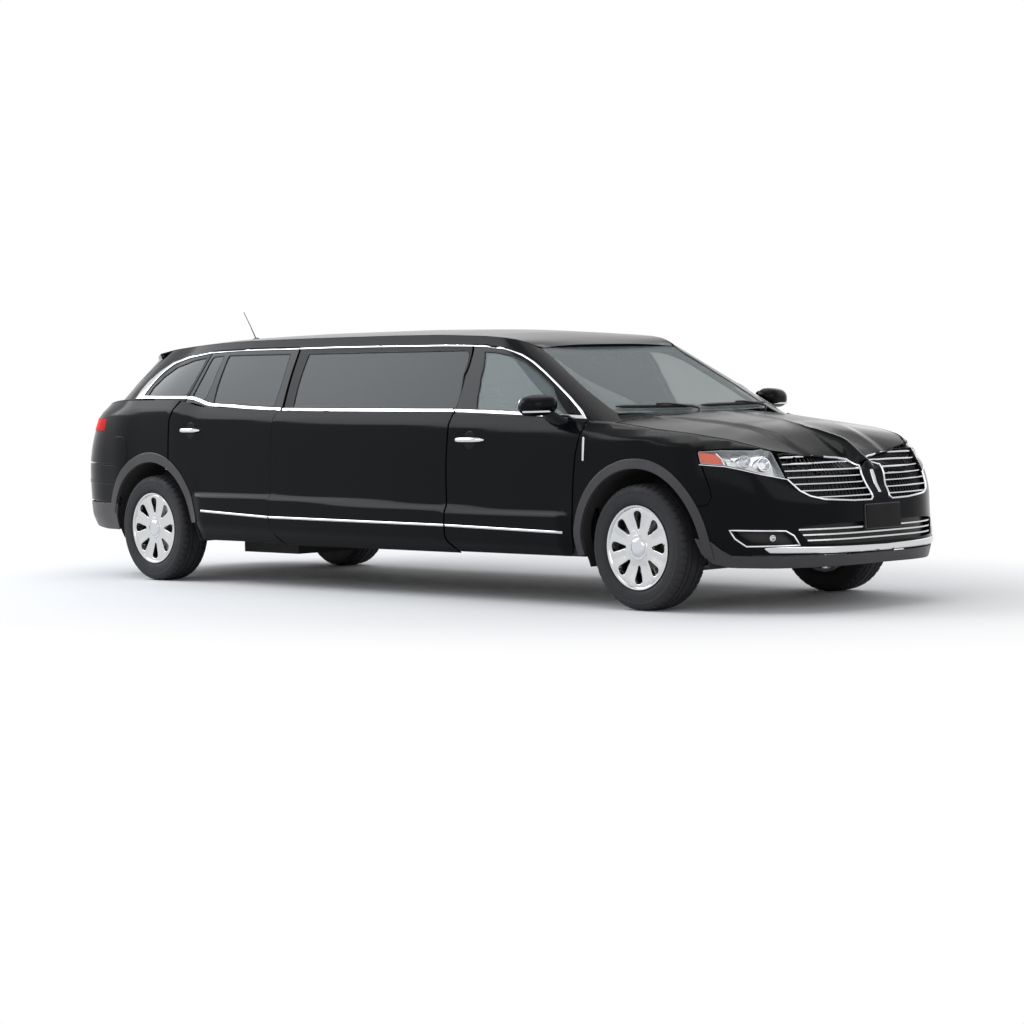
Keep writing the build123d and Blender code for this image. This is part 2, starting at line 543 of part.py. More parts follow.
def make_running_gear():
    for axle_x, tag in ((AXLE_F, "front"), (AXLE_R, "rear")):
        for sgn, hand in ((-1, "right"), (1, "left")):
            place = Location((axle_x, sgn * WHEEL_Y, AXLE_Z))
            save(tyre().moved(place), f"tyre_{tag}_{hand}")
            save(rim(sgn).moved(place), f"wheel_{tag}_{hand}")
    for sgn, hand in ((-1, "right"), (1, "left")):
        a, b = sorted((sgn * 700.0, sgn * 752.0))
        body = rod_y(AXLE_F, AXLE_Z, 56, a, b)
        arm = block(AXLE_F - 34, AXLE_F + 34, a, a + 40, AXLE_Z - 130, AXLE_Z + 130)
        steer = block(AXLE_F - 150, AXLE_F - 30, a, a + 30, AXLE_Z - 20, AXLE_Z + 20)
        save(fuse(body, arm, steer), f"knuckle_{hand}")
    cradle = (block(AXLE_F - 330, AXLE_F - 250, -400, 400, 230, 290)
              + block(AXLE_F + 200, AXLE_F + 270, -400, 400, 230, 290)
              + block(AXLE_F - 330, AXLE_F + 270, -420, -350, 230, 290)
              + block(AXLE_F - 330, AXLE_F + 270, 350, 420, 230, 290))
    for s in (1, -1):
        cradle = cradle + tube([(AXLE_F - 290, s * 400, 250), (AXLE_F, s * 672, 225)], 22)
        cradle = cradle + tube([(AXLE_F + 235, s * 400, 250), (AXLE_F, s * 672, 225)], 22)
    save(cradle, "front_subframe")
    beam = block(AXLE_R - 40, AXLE_R + 40, -420, 420, 330, 410)
    case = Solid.make_sphere(130, Plane((AXLE_R, 0, AXLE_Z)), -90, 90, 360)
    shafts = rod_y(AXLE_R, AXLE_Z, 28, -750, 750)
    hubs = rod_y(AXLE_R, AXLE_Z, 60, -752, -690) + rod_y(AXLE_R, AXLE_Z, 60, 690, 752)
    save(fuse(beam, case, shafts, hubs), "rear_axle")


def make_inside():
    step = AXLE_R + 520
    floor = side([(step - 30, FLOOR_Z), (FIREWALL_X + 28, FLOOR_Z), (FIREWALL_X + 28, 1075),
                  (FIREWALL_X, 1075), (FIREWALL_X, FLOOR_Z + FLOOR_T),
                  (step, FLOOR_Z + FLOOR_T), (step, CARGO_Z), (TAIL_X + 300, CARGO_Z),
                  (TAIL_X + 300, CARGO_Z - 30), (step - 30, CARGO_Z - 30)], -769, 769)
    for s in (-1, 1):
        a, b = sorted((s * 636, s * 900))
        floor = floor - block(TAIL_X, step - 28, a, b, 0, 700)
    save(floor, "floor_pan")
    save(side([(AXLE_F - 1040, 700), (FIREWALL_X - FIT, 700), (FIREWALL_X - FIT, 1070),
               (AXLE_F - 800, 1120), (AXLE_F - 1040, 1060)], -766, 766), "dashboard")
    save(block(AXLE_F + 60 - 300, AXLE_F + 420, -330, 330, 360, 880), "engine_block")
    save(tube([(AXLE_F - 350, 300, 250), (AXLE_R + 420, 300, 250), (AXLE_R + 250, 300, 480),
               (AXLE_R - 250, 300, 480), (AXLE_R - 600, 300, 440)], 30)
         + block(AXLE_R - 900, AXLE_R - 560, -420, 420, 380, 500), "exhaust")
    save(block(AXLE_R + 560, AXLE_R + 1160, -560, 200, 200, 296), "fuel_tank")
    seats = []
    for s in (-1, 1):
        cy = s * 400
        seats.append(block(AXLE_F - 1750, AXLE_F - 1240, cy - 260, cy + 260, 345, 620)
                     + side([(AXLE_F - 1640, 600), (AXLE_F - 1790, 600),
                             (AXLE_F - 1920, 1240), (AXLE_F - 1820, 1240)],
                            cy - 260, cy + 260))
    save(Compound([s for seat in seats for s in seat.solids()]), "front_seats")
    bench = side([(AXLE_R + 526, 345), (AXLE_R + 930, 345), (AXLE_R + 980, 560),
                  (AXLE_R + 980, 680), (AXLE_R + 400, 650), (AXLE_R + 290, 1230),
                  (AXLE_R + 150, 1230), (AXLE_R + 250, CARGO_Z + 3),
                  (AXLE_R + 526, CARGO_Z + 3)], -600, 600)
    save(bench, "rear_bench")
    lounge = (block(AXLE_F - 3300, AXLE_F - 2150, 330, 766, 345, 690)
              + block(AXLE_F - 3300, AXLE_F - 2150, 670, 826, 680, 1120))
    save(lounge, "side_lounge")
    save(block(AXLE_F - 3300, AXLE_F - 2200, -760, -420, 345, 1000), "bar_cabinet")
    save(block(AXLE_F - 2080, AXLE_F - 2030, -760, 760, 345, 1150), "partition")
    col = tube([(AXLE_F - 1060, 400, 960), (AXLE_F - 1180, 400, 1000)], 30)
    save(col, "steering_column")
    sw = Solid.make_torus(185, 14, Plane((AXLE_F - 1215, 400, 1013), z_dir=(-0.95, 0, 0.31)))
    hub = Solid.make_cylinder(70, 20, Plane((AXLE_F - 1195, 400, 1006), z_dir=(-0.95, 0, 0.31)))
    bar = block(AXLE_F - 1220, AXLE_F - 1206, 400 - 184, 400 + 184, 1000, 1026)
    save(fuse(sw, hub, bar), "steering_wheel")
    blades = [tube([(AXLE_F - 352, y, 1180), (AXLE_F - 380, y - 40, 1196),
                    (AXLE_F - 440, y - 560, 1216)], 7) for y in (-90, 520)]
    save(Compound([s for b in blades for s in b.solids()]), "wipers")
    save(block(AXLE_F - 1190, AXLE_F - 1165, -120, 120, 1440, 1510), "inner_mirror")
    save(tube([(AXLE_F - 4720, 0, 1690), (AXLE_F - 4870, 0, 1890)], 5), "antenna")


make_running_gear()
make_inside()
make_mirrors()
GREEN, SIDE = make_sides()
make_tail(GREEN, SIDE)
make_nose(GREEN)
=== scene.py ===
import json
import math
from math import atan2, cos, pi, radians, sin

import bmesh
import bpy
import numpy as np
from mathutils import Matrix, Vector
from mathutils.geometry import delaunay_2d_cdt

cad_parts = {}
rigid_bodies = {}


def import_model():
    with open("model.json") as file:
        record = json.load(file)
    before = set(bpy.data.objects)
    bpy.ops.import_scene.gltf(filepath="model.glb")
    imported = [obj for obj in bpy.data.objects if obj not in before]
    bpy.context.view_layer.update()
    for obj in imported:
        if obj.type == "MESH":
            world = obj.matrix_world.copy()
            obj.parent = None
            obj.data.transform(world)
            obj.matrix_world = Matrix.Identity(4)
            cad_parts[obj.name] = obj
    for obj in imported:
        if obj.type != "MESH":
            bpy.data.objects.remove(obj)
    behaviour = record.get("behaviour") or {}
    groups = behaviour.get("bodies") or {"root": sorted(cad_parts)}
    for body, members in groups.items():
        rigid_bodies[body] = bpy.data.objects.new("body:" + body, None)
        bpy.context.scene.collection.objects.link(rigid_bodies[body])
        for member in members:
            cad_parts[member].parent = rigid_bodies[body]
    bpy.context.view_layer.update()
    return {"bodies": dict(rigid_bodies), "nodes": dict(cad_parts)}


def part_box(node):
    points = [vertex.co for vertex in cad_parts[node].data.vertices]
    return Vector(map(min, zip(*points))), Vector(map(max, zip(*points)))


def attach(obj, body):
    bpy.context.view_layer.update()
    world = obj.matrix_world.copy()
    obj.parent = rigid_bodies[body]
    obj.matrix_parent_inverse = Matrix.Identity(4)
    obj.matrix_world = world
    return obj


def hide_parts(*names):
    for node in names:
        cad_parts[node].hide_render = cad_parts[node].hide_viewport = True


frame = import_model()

# ------------------------------------------------------------------ places
# Lengths in metres in the part's frame; tables give x from the front axle.
tyre_lo, tyre_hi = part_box("tyre_front_right")
AXLE_F = (tyre_lo[0] + tyre_hi[0]) / 2
AXLE_Z = (tyre_lo[2] + tyre_hi[2]) / 2
TYRE_R = (tyre_hi[2] - tyre_lo[2]) / 2
HALF_W = (tyre_hi[1] - tyre_lo[1]) / 2      # half the tyre's width
WHEEL_Y = -(tyre_lo[1] + tyre_hi[1]) / 2
tyre_lo, tyre_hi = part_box("tyre_rear_right")
AXLE_R = (tyre_lo[0] + tyre_hi[0]) / 2
WHEELBASE = AXLE_F - AXLE_R
ARCH_F, ARCH_R = 0.462, 0.466      # radii of the wheel openings

# Lower body: x, then half-width and height at the rocker, lower crease,
# waist, shoulder crease and belt (or hood edge), and the crown's height.
LOWER = [
    (1.104, .000, .262, .000, .420, .000, .610, .000, .700, .000, .780, .800),
    (1.100, .080, .262, .150, .420, .200, .610, .150, .700, .100, .780, .800),
    (1.060, .420, .258, .440, .420, .450, .610, .400, .720, .330, .790, .826),
    (1.000, .520, .256, .555, .420, .560, .610, .520, .740, .430, .830, .868),
    (0.900, .650, .258, .690, .420, .690, .620, .650, .790, .560, .885, .950),
    (0.780, .740, .264, .790, .430, .795, .640, .750, .850, .660, .932, 1.006),
    (0.600, .810, .276, .865, .440, .880, .680, .845, .920, .740, .985, 1.056),
    (0.300, .865, .286, .925, .450, .945, .700, .915, .980, .800, 1.032, 1.094),
    (-.060, .895, .288, .950, .450, .964, .720, .938, 1.012, .845, 1.068, 1.130),
    (-.352, .905, .288, .957, .450, .965, .740, .944, 1.028, .872, 1.100, 1.158),
    (-.520, .905, .288, .957, .450, .965, .740, .946, 1.040, .905, 1.130, 1.160),
    (-1.62, .905, .288, .957, .450, .965, .750, .948, 1.092, .915, 1.170, 1.180),
    (-3.38, .905, .290, .957, .455, .965, .770, .948, 1.128, .912, 1.205, 1.215),
    (-4.23, .905, .292, .957, .460, .965, .790, .944, 1.156, .908, 1.228, 1.240),
    (-4.48, .905, .293, .957, .460, .965, .800, .940, 1.200, .902, 1.284, 1.290),
    (-5.00, .890, .296, .945, .460, .955, .800, .918, 1.196, .872, 1.284, 1.290),
    (-5.30, .868, .300, .925, .460, .938, .790, .880, 1.188, .815, 1.272, 1.284),
    (-5.56, .815, .312, .880, .460, .892, .770, .800, 1.176, .715, 1.250, 1.276),
    (-5.76, .715, .330, .780, .450, .795, .740, .690, 1.160, .560, 1.225, 1.262),
    (-5.90, .520, .352, .600, .440, .620, .700, .520, 1.100, .400, 1.190, 1.235),
    (-5.951, .330, .372, .400, .440, .420, .680, .330, .900, .250, 1.120, 1.190),
    (-5.955, .000, .372, .000, .440, .000, .680, .000, .900, .000, 1.120, 1.190),
]
NOSE_LEAN = [(0, 0, 0), (0, 0, 0), (.014, .002, 0), (.045, .015, .01), (.050, .050, .045)]
SPINE_F, SPINE_R = 0.30, -5.00     # the ends of the straight spine
BEND = 0.70                        # metres of s per radian round each end
BELT_LEVEL = 4
TAIL_BELT_Z = 1.204                # the belt's height round the tail

# Greenhouse: (x, y) at the belt plane and at the roof's edge plane.
GREEN_Z = (1.080, 1.625)
GREEN_FOOT = 1.262                 # where the greenhouse meets the deck
GREEN_BASE = [(-.198, 0), (-.215, .450), (-.275, .740), (-.345, .868), (-.560, .925),
              (-1.70, .948), (-4.00, .945), (-4.90, .976), (-5.267, .954), (-5.58, .820),
              (-5.73, .480), (-5.795, 0)]
GREEN_TOP = [(-1.30, 0), (-1.29, .330), (-1.245, .600), (-1.33, .660), (-1.50, .680),
             (-2.00, .700), (-3.90, .705), (-4.50, .680), (-4.90, .610), (-5.15, .500),
             (-5.33, .320), (-5.38, 0)]


# ------------------------------------------------------------------ curves
def smooth_table(x, y, sigma, mirror=False):
    """Even samples of the polyline x, y, rounded with a Gaussian."""
    step = .01
    x, y = np.asarray(x, float), np.asarray(y, float)
    order = np.argsort(x)
    x, y = x[order], y[order]
    pad = 4 * sigma
    grid = np.arange(x[0], x[-1] + step / 2, step)
    wide = np.arange(x[0] - pad, x[-1] + pad + step / 2, step)
    probe = wide.copy()
    lo, hi = x[0], x[-1]
    below, above = probe < lo, probe > hi
    probe[below] = 2 * lo - probe[below]
    probe[above] = 2 * hi - probe[above]
    val = np.interp(probe, x, y)
    if not mirror:
        val[below] = 2 * y[0] - val[below]
        val[above] = 2 * y[-1] - val[above]
    k = np.exp(-0.5 * (np.arange(-pad, pad + step / 2, step) / sigma) ** 2)
    out = np.convolve(val, k / k.sum(), mode="same")
    return grid, np.interp(grid, wide, out)


def spline(points, n, closed=False):
    """Catmull-Rom points through a list of 2-D or 3-D points."""
    p = np.asarray(points, float)
    m = len(p)
    out = []
    for i in range(m if closed else m - 1):
        a = p[(i - 1) % m] if closed or i else 2 * p[0] - p[1]
        b, c = p[i], p[(i + 1) % m]
        d = p[(i + 2) % m] if closed or i + 2 < m else 2 * p[-1] - p[-2]
        for t in np.arange(n) / n:
            out.append(0.5 * (2 * b + (c - a) * t + (2 * a - 5 * b + 4 * c - d) * t * t
                              + (3 * b - a - 3 * c + d) * t ** 3))
    if not closed:
        out.append(p[-1])
    return np.array(out)


def dense(points, step, closed=True):
    """Points every step along straight runs."""
    p = np.asarray(points, float)
    out = []
    m = len(p)
    for i in range(m if closed else m - 1):
        a, b = p[i], p[(i + 1) % m]
        k = max(1, int(np.ceil(np.linalg.norm(b - a) / step)))
        for j in range(k):
            out.append(a + (b - a) * j / k)
    if not closed:
        out.append(p[-1])
    return np.array(out)


def rounded(points, radius, n=5):
    """Closed outline with its corners rounded; a third value sets a corner's own radius."""
    out = []
    points = [q for i, q in enumerate(points)
              if math.dist(tuple(q[:2]), tuple(points[i - 1][:2])) > 1e-5]
    m = len(points)
    for i, q in enumerate(points):
        r = q[2] if len(q) > 2 else radius
        p = np.array(q[:2], float)
        a = np.array(points[i - 1][:2], float) - p
        b = np.array(points[(i + 1) % m][:2], float) - p
        la, lb = np.linalg.norm(a), np.linalg.norm(b)
        a, b = a / la, b / lb
        half = max(.02, math.acos(max(-1, min(1, float(a @ b)))) / 2)
        if r <= 0 or half > 1.5:
            out.append(p)
            continue
        d = min(r / math.tan(half), 0.45 * la, 0.45 * lb)
        for t in np.linspace(0, 1, n):
            q0, q1 = p + a * d, p + b * d
            out.append((1 - t) ** 2 * q0 + 2 * t * (1 - t) * p + t * t * q1)
    return np.array(out)


def around(n):
    """n even angles of a full turn."""
    return np.linspace(0, 2 * pi, n, endpoint=False)


def oval(x, z, rx, rz, n):
    """Closed ellipse of n points."""
    return np.array([(x + rx * cos(t), z + rz * sin(t)) for t in around(n)])


def ramp(x, a, b):
    """0 at a, 1 at b, smooth between."""
    t = np.clip((x - a) / (b - a), 0, 1)
    return t * t * (3 - 2 * t)


# ------------------------------------------------------------------ lower body
def wrap_tables():
    """Per level: s grid, distance from the spine and height."""
    tables = []
    for level, (lean, more, up) in enumerate(NOSE_LEAN):
        along, reach, height = [], [], []
        for row in LOWER:
            x, y, z = row[0], row[1 + 2 * level], row[2 + 2 * level]
            if x > SPINE_F:
                s, r = SPINE_F + BEND * atan2(x - SPINE_F, y), math.hypot(x - SPINE_F, y)
            elif x < SPINE_R:
                s, r = SPINE_R - BEND * atan2(SPINE_R - x, y), math.hypot(SPINE_R - x, y)
            else:
                s, r = x, y
            along.append(s), reach.append(r), height.append(z)
        g, r = smooth_table(along, reach, .045, True)
        _, z = smooth_table(along, height, .045, True)
        # the nose leans back above the bumper
        r = r - lean * ramp(g, .5, 1.0) - more * ramp(g, 1.0, 1.4)
        z = z + up * ramp(g, .95, 1.35)
        if level == BELT_LEVEL:
            tail_end = ramp(-g, 5.62, 5.92)
            z, r = z + tail_end * (TAIL_BELT_Z - z), r - .012 * tail_end
        tables.append((g, r, z))
    return tables


WRAP = wrap_tables()
S_NOSE = SPINE_F + BEND * pi / 2
S_TAIL = SPINE_R - BEND * pi / 2
CROWN = [(1.10, .80), (1.02, .826), (.985, .858), (.946, .898), (.90, .932), (.80, .985),
         (.57, 1.043), (.30, 1.082), (.10, 1.106), (-.06, 1.122), (-.352, 1.152)] + [
             (r[0], r[11]) for r in LOWER if r[0] < -.4]
CROWN_X, CROWN_Z = smooth_table([r[0] for r in CROWN], [r[1] for r in CROWN], sigma=.03)
CROWN_Z = np.where(CROWN_X < -5.75, 1.2617 + .21 * (CROWN_X + 5.75), CROWN_Z)
BAND_X = [-4.25, -3.41, -1.62, -.53]
BAND_TOP = [.640, .644, .599, .569]
BAND_LOW = [.600, .583, .540, .528]
SILL_BAND = [.435, .428, .408, .385]


def fold_s(s):
    """s past the nose or tail runs on down the other side."""
    s = np.asarray(s, float)
    flip = np.ones_like(s)
    over, under = s > S_NOSE, s < S_TAIL
    s = np.where(over, 2 * S_NOSE - s, s)
    s = np.where(under, 2 * S_TAIL - s, s)
    flip[over | under] = -1
    return s, flip


def level_values(s):
    """Distance from the spine and height of the five levels at s."""
    r = np.stack([np.interp(s, g, rr) for g, rr, _ in WRAP])
    z = np.stack([np.interp(s, g, zz) for g, _, zz in WRAP])
    return r, z


def belt_z(s):
    """The belt's height at s."""
    return level_values(s)[1][BELT_LEVEL]


def radius_at(s, z):
    """Distance from the spine at height z: a smooth curve, creased at the shoulder."""
    r, zz = level_values(s)
    total = np.zeros_like(z)
    for dz in (-.012, -.006, 0, .006, .012):
        q = z + dz
        # belt to shoulder: straight; shoulder down: a parabola-like curve
        up = (q - zz[3]) / (zz[4] - zz[3])
        a = r[3] + (r[4] - r[3]) * np.clip(up, -.5, 1.3)
        d = (zz[2] - zz[3])
        t = np.clip((q - zz[3]) / d, 0, 1)
        b = r[3] + (r[2] - r[3]) * (1 - (1 - t) ** 2)
        t2 = np.clip((zz[2] - q) / (zz[2] - zz[1]), 0, 1)
        c = r[2] + (r[1] - r[2]) * t2 ** 2
        t3 = np.clip((zz[1] - q) / (zz[1] - zz[0]), 0, 1.2)
        slope = 2 * (r[1] - r[2])
        e = r[1] + slope * t3 * (1 - t3) + (r[0] - r[1]) * t3 ** 1.6
        v = np.where(q > zz[3], a, np.where(q > zz[2], b, np.where(q > zz[1], c, e)))
        total += v
    base = total / 5
    # cladding bands along the doors
    top, low = np.interp(s, BAND_X, BAND_TOP), np.interp(s, BAND_X, BAND_LOW)
    sill = np.interp(s, BAND_X, SILL_BAND)
    along = ramp(s, -4.30, -4.16) * (1 - ramp(s, -.62, -.50))
    rise = ramp(z, low, top)
    step = .020 * (1 - rise) - .004 * rise * (1 - ramp(z, top, top + .22))
    step += (.008 * (1 - ramp(z, sill - .012, sill + .014))
             - .016 * (1 - ramp(z, sill - .1, sill - .02)))
    return base + along * step


def crown_z(x, y, edge_y, edge_z):
    """Height of the hood, cowl or tail deck between its edges."""
    top = np.interp(x, CROWN_X, CROWN_Z)
    f = np.clip(np.abs(y) / np.maximum(edge_y, .05), 0, 1.0)
    z = top - (top - edge_z) * f ** 2.1
    # power dome and its centre crease
    dome_half = .34 + .16 * np.clip((x + .3) / -1.2 + 1, 0, 1)
    dome = .010 * (1 - ramp(np.abs(y), dome_half - .05, dome_half + .03))
    crease = .006 * np.exp(-np.abs(y) / .030)
    on = ramp(x, -.36, -.1) * (1 - ramp(x, .80, .93))
    return z + on * (dome + crease)


def tail_pull(x):
    """How far the tail's points are drawn forward."""
    return .0285 * ramp(-x - WHEELBASE, .55, 1.10)


def lower(s, w):
    """Point on the right side of the lower body. w is the height up to the belt,
    then the distance inward across the crown."""
    s, w = np.asarray(s, float), np.asarray(w, float)
    s, flip = fold_s(s)
    belt = belt_z(s)
    on_top = w > belt
    zq = np.where(on_top, belt, w)
    rad = radius_at(s, zq)
    rad = np.where(on_top, rad - (w - belt), rad)
    ang_f = np.clip((s - SPINE_F) / BEND, 0, pi / 2)
    ang_r = np.clip((SPINE_R - s) / BEND, 0, pi / 2)
    spine = np.clip(s, SPINE_R, SPINE_F)
    x = spine + rad * np.sin(ang_f) - rad * np.sin(ang_r)
    y = rad * np.cos(ang_f) * np.cos(ang_r)
    edge = radius_at(s, belt)
    ey = edge * np.cos(ang_f) * np.cos(ang_r)
    zt = crown_z(x, y, np.maximum(ey, np.abs(y)), belt)
    zout = np.where(on_top, zt, w)
    x = x - .0235 * ramp(x, .55, .96) + tail_pull(x)
    return np.stack([AXLE_F + x, -y * flip, zout], -1)


def bisect(before, lo, hi, rounds=30):
    """The value between lo and hi where before(value) turns false."""
    for _ in range(rounds):
        mid = (lo + hi) / 2
        yes = before(mid)
        lo, hi = np.where(yes, mid, lo), np.where(yes, hi, mid)
    return (lo + hi) / 2


def nose_s(y, z):
    """s of the front face's point at half-width y and height z."""
    y, z = np.broadcast_arrays(np.asarray(y, float), np.asarray(z, float))
    return bisect(lambda s: radius_at(s, z) * np.cos((s - SPINE_F) / BEND) > np.abs(y),
                  np.full(y.shape, SPINE_F), np.full(y.shape, S_NOSE), 32)


def tail_s(y, z):
    """s of the rear face's point at half-width y and height z."""
    y, z = np.broadcast_arrays(np.asarray(y, float), np.asarray(z, float))
    return bisect(lambda s: radius_at(s, z) * np.cos((SPINE_R - s) / BEND) > np.abs(y),
                  np.full(y.shape, SPINE_R), np.full(y.shape, S_TAIL), 32)


def on_nose(y, z):
    """Point on the front face; y > 0 is the car's left."""
    y, z = np.broadcast_arrays(np.asarray(y, float), np.asarray(z, float))
    s = nose_s(y, z)
    return lower(np.where(y > 0, 2 * S_NOSE - s, s), z)


def on_tail(y, z):
    """Point on the rear face; y > 0 is the car's left."""
    y = np.asarray(y, float)
    s = tail_s(np.abs(y), z)
    return lower(np.where(y > 0, 2 * S_TAIL - s, s), z)


def normal(fn, a, b):
    """Unit normal of fn by finite differences, pointing away from the car's middle."""
    h = .004
    da = fn(a + h, b) - fn(a - h, b)
    db = fn(a, b + h) - fn(a, b - h)
    n = np.cross(da, db)
    length = np.linalg.norm(n, axis=-1, keepdims=True)
    n = n / np.maximum(length, 1e-12)
    p = fn(a, b)
    centre = np.stack([np.clip(p[..., 0], AXLE_F - 4.6, AXLE_F + .1),
                       np.zeros_like(p[..., 0]), np.full_like(p[..., 0], .75)], -1)
    sign = np.sign(np.sum(n * (p - centre), -1, keepdims=True))
    return n * np.where(sign == 0, 1, sign)


# ------------------------------------------------------------------ greenhouse
def green_fn(u, z):
    """Point on the right side of the greenhouse: u counts the outline's corners from
    the screen's middle (0) to the backlight's middle (11)."""
    u, z = np.broadcast_arrays(np.asarray(u, float), np.asarray(z, float))
    t = (z - GREEN_Z[0]) / (GREEN_Z[1] - GREEN_Z[0])
    base, top = np.array(GREEN_BASE), np.array(GREEN_TOP)
    last = len(base) - 1
    x, y, total = 0, 0, 0
    for du, wt in ((-.40, 1), (-.25, 2), (-.10, 3), (.10, 3), (.25, 2), (.40, 1)):
        q = u + du
        sign = np.where((q < 0) | (q > last), -1.0, 1.0)
        q = np.where(q < 0, -q, np.where(q > last, 2 * last - q, q))
        i = np.clip(q.astype(int), 0, last - 1)
        f = q - i
        bx = base[i, 0] * (1 - f) + base[i + 1, 0] * f
        by = base[i, 1] * (1 - f) + base[i + 1, 1] * f
        tx = top[i, 0] * (1 - f) + top[i + 1, 0] * f
        ty = top[i, 1] * (1 - f) + top[i + 1, 1] * f
        x = x + wt * (bx * (1 - t) + tx * t)
        y = y + wt * sign * (by * (1 - t) + ty * t)
        total += wt
    bulge = .010 * np.sin(pi * np.clip(t, 0, 1))
    return np.stack([AXLE_F + x / total, -y / total - bulge * (y > 0), z], -1)


# ------------------------------------------------------------------ mesh making
def inside(poly, pts):
    """Which 2-D points lie inside a closed outline."""
    res = np.zeros(len(pts), bool)
    x, y = pts[:, 0], pts[:, 1]
    n = len(poly)
    j = n - 1
    for i in range(n):
        xi, yi, xj, yj = *poly[i], *poly[j]
        if yi != yj:
            hit = ((yi > y) != (yj > y)) & (x < (xj - xi) * (y - yi) / (yj - yi) + xi)
            res ^= hit
        j = i
    return res


def signed_area(p):
    """Area of a closed outline, positive when it runs anticlockwise."""
    q = np.roll(p, -1, 0)
    return 0.5 * np.sum(p[:, 0] * q[:, 1] - q[:, 0] * p[:, 1])


def inset(poly, d):
    """Closed outline moved inward by d, corner by corner."""
    p = np.asarray(poly, float)
    if signed_area(p) < 0:
        p = p[::-1]
    a, b = np.roll(p, 1, 0), np.roll(p, -1, 0)
    t1 = (p - a) / np.maximum(np.linalg.norm(p - a, axis=1, keepdims=True), 1e-9)
    t2 = (b - p) / np.maximum(np.linalg.norm(b - p, axis=1, keepdims=True), 1e-9)
    n1 = np.stack([-t1[:, 1], t1[:, 0]], 1)
    n2 = np.stack([-t2[:, 1], t2[:, 0]], 1)
    m = n1 + n2
    m /= np.maximum(np.linalg.norm(m, axis=1, keepdims=True), 1e-6)
    scale = 1 / np.clip(np.sum(m * n1, 1, keepdims=True), .45, 1)
    return p + m * scale * d


def triangulate(rings, spacing):
    """Delaunay triangles between closed rings: the first holds the others."""
    keep_off = .45                 # of the spacing, from points to the rings
    sa, sb = spacing if np.ndim(spacing) else (spacing, spacing)
    outer = rings[0]
    lo, hi = outer.min(0), outer.max(0)
    ga = np.arange(lo[0] + sa / 2, hi[0], sa)
    gb = np.arange(lo[1] + sb / 2, hi[1], sb)
    pts = np.stack(np.meshgrid(ga, gb, indexing="ij"), -1).reshape(-1, 2)
    ok = inside(outer, pts)
    for hole in rings[1:]:
        ok &= ~inside(hole, pts)
    pts = pts[ok]
    edge = np.concatenate(rings)
    scale = np.array([1 / sa, 1 / sb])
    if len(pts):
        near = np.full(len(pts), 9e9)
        for i in range(0, len(edge), 64):
            d = np.linalg.norm((pts[:, None] - edge[None, i:i + 64]) * scale, axis=2)
            near = np.minimum(near, d.min(1))
        pts = pts[near > keep_off]
    coords, edges, start = [], [], 0
    for ring in rings:
        coords += [Vector(q) for q in ring]
        n = len(ring)
        edges += [(start + i, start + (i + 1) % n) for i in range(n)]
        start += n
    coords += [Vector(q) for q in pts]
    v, _, f, *_ = delaunay_2d_cdt(coords, edges, [], 0, 1e-7)
    v = np.array([tuple(q) for q in v])
    f = np.array([tuple(q) for q in f if len(q) == 3])
    mid = v[f].mean(1)
    ok = inside(outer, mid)
    for hole in rings[1:]:
        ok &= ~inside(hole, mid)
    f = f[ok]
    a, b, c = v[f[:, 0]], v[f[:, 1]], v[f[:, 2]]
    ab, ac = b - a, c - a
    cross = ab[:, 0] * ac[:, 1] - ab[:, 1] * ac[:, 0]
    f[cross < 0] = f[cross < 0][:, ::-1]
    f = f[np.abs(cross) > 1e-10]
    return v, f


def piece(name, data, material, body="body", angle=40, replaces=()):
    """Object of (verts, faces, normals by corner or None), riding on a body. An angle marks
    its hard edges."""
    verts, faces, normals = data
    mesh = bpy.data.meshes.new(name)
    mesh.from_pydata([tuple(map(float, q)) for q in verts], [], [tuple(map(int, q)) for q in faces])
    mesh.polygons.foreach_set("use_smooth", [True] * len(mesh.polygons))
    mesh.update()
    if normals is not None:
        mesh.normals_split_custom_set([tuple(map(float, q)) for q in normals])
    obj = bpy.data.objects.new(name, mesh)
    bpy.context.scene.collection.objects.link(obj)
    mesh.materials.append(material)
    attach(obj, body)
    if angle:
        mark_edges(mesh, angle)
    if replaces:
        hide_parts(*replaces)
    return obj


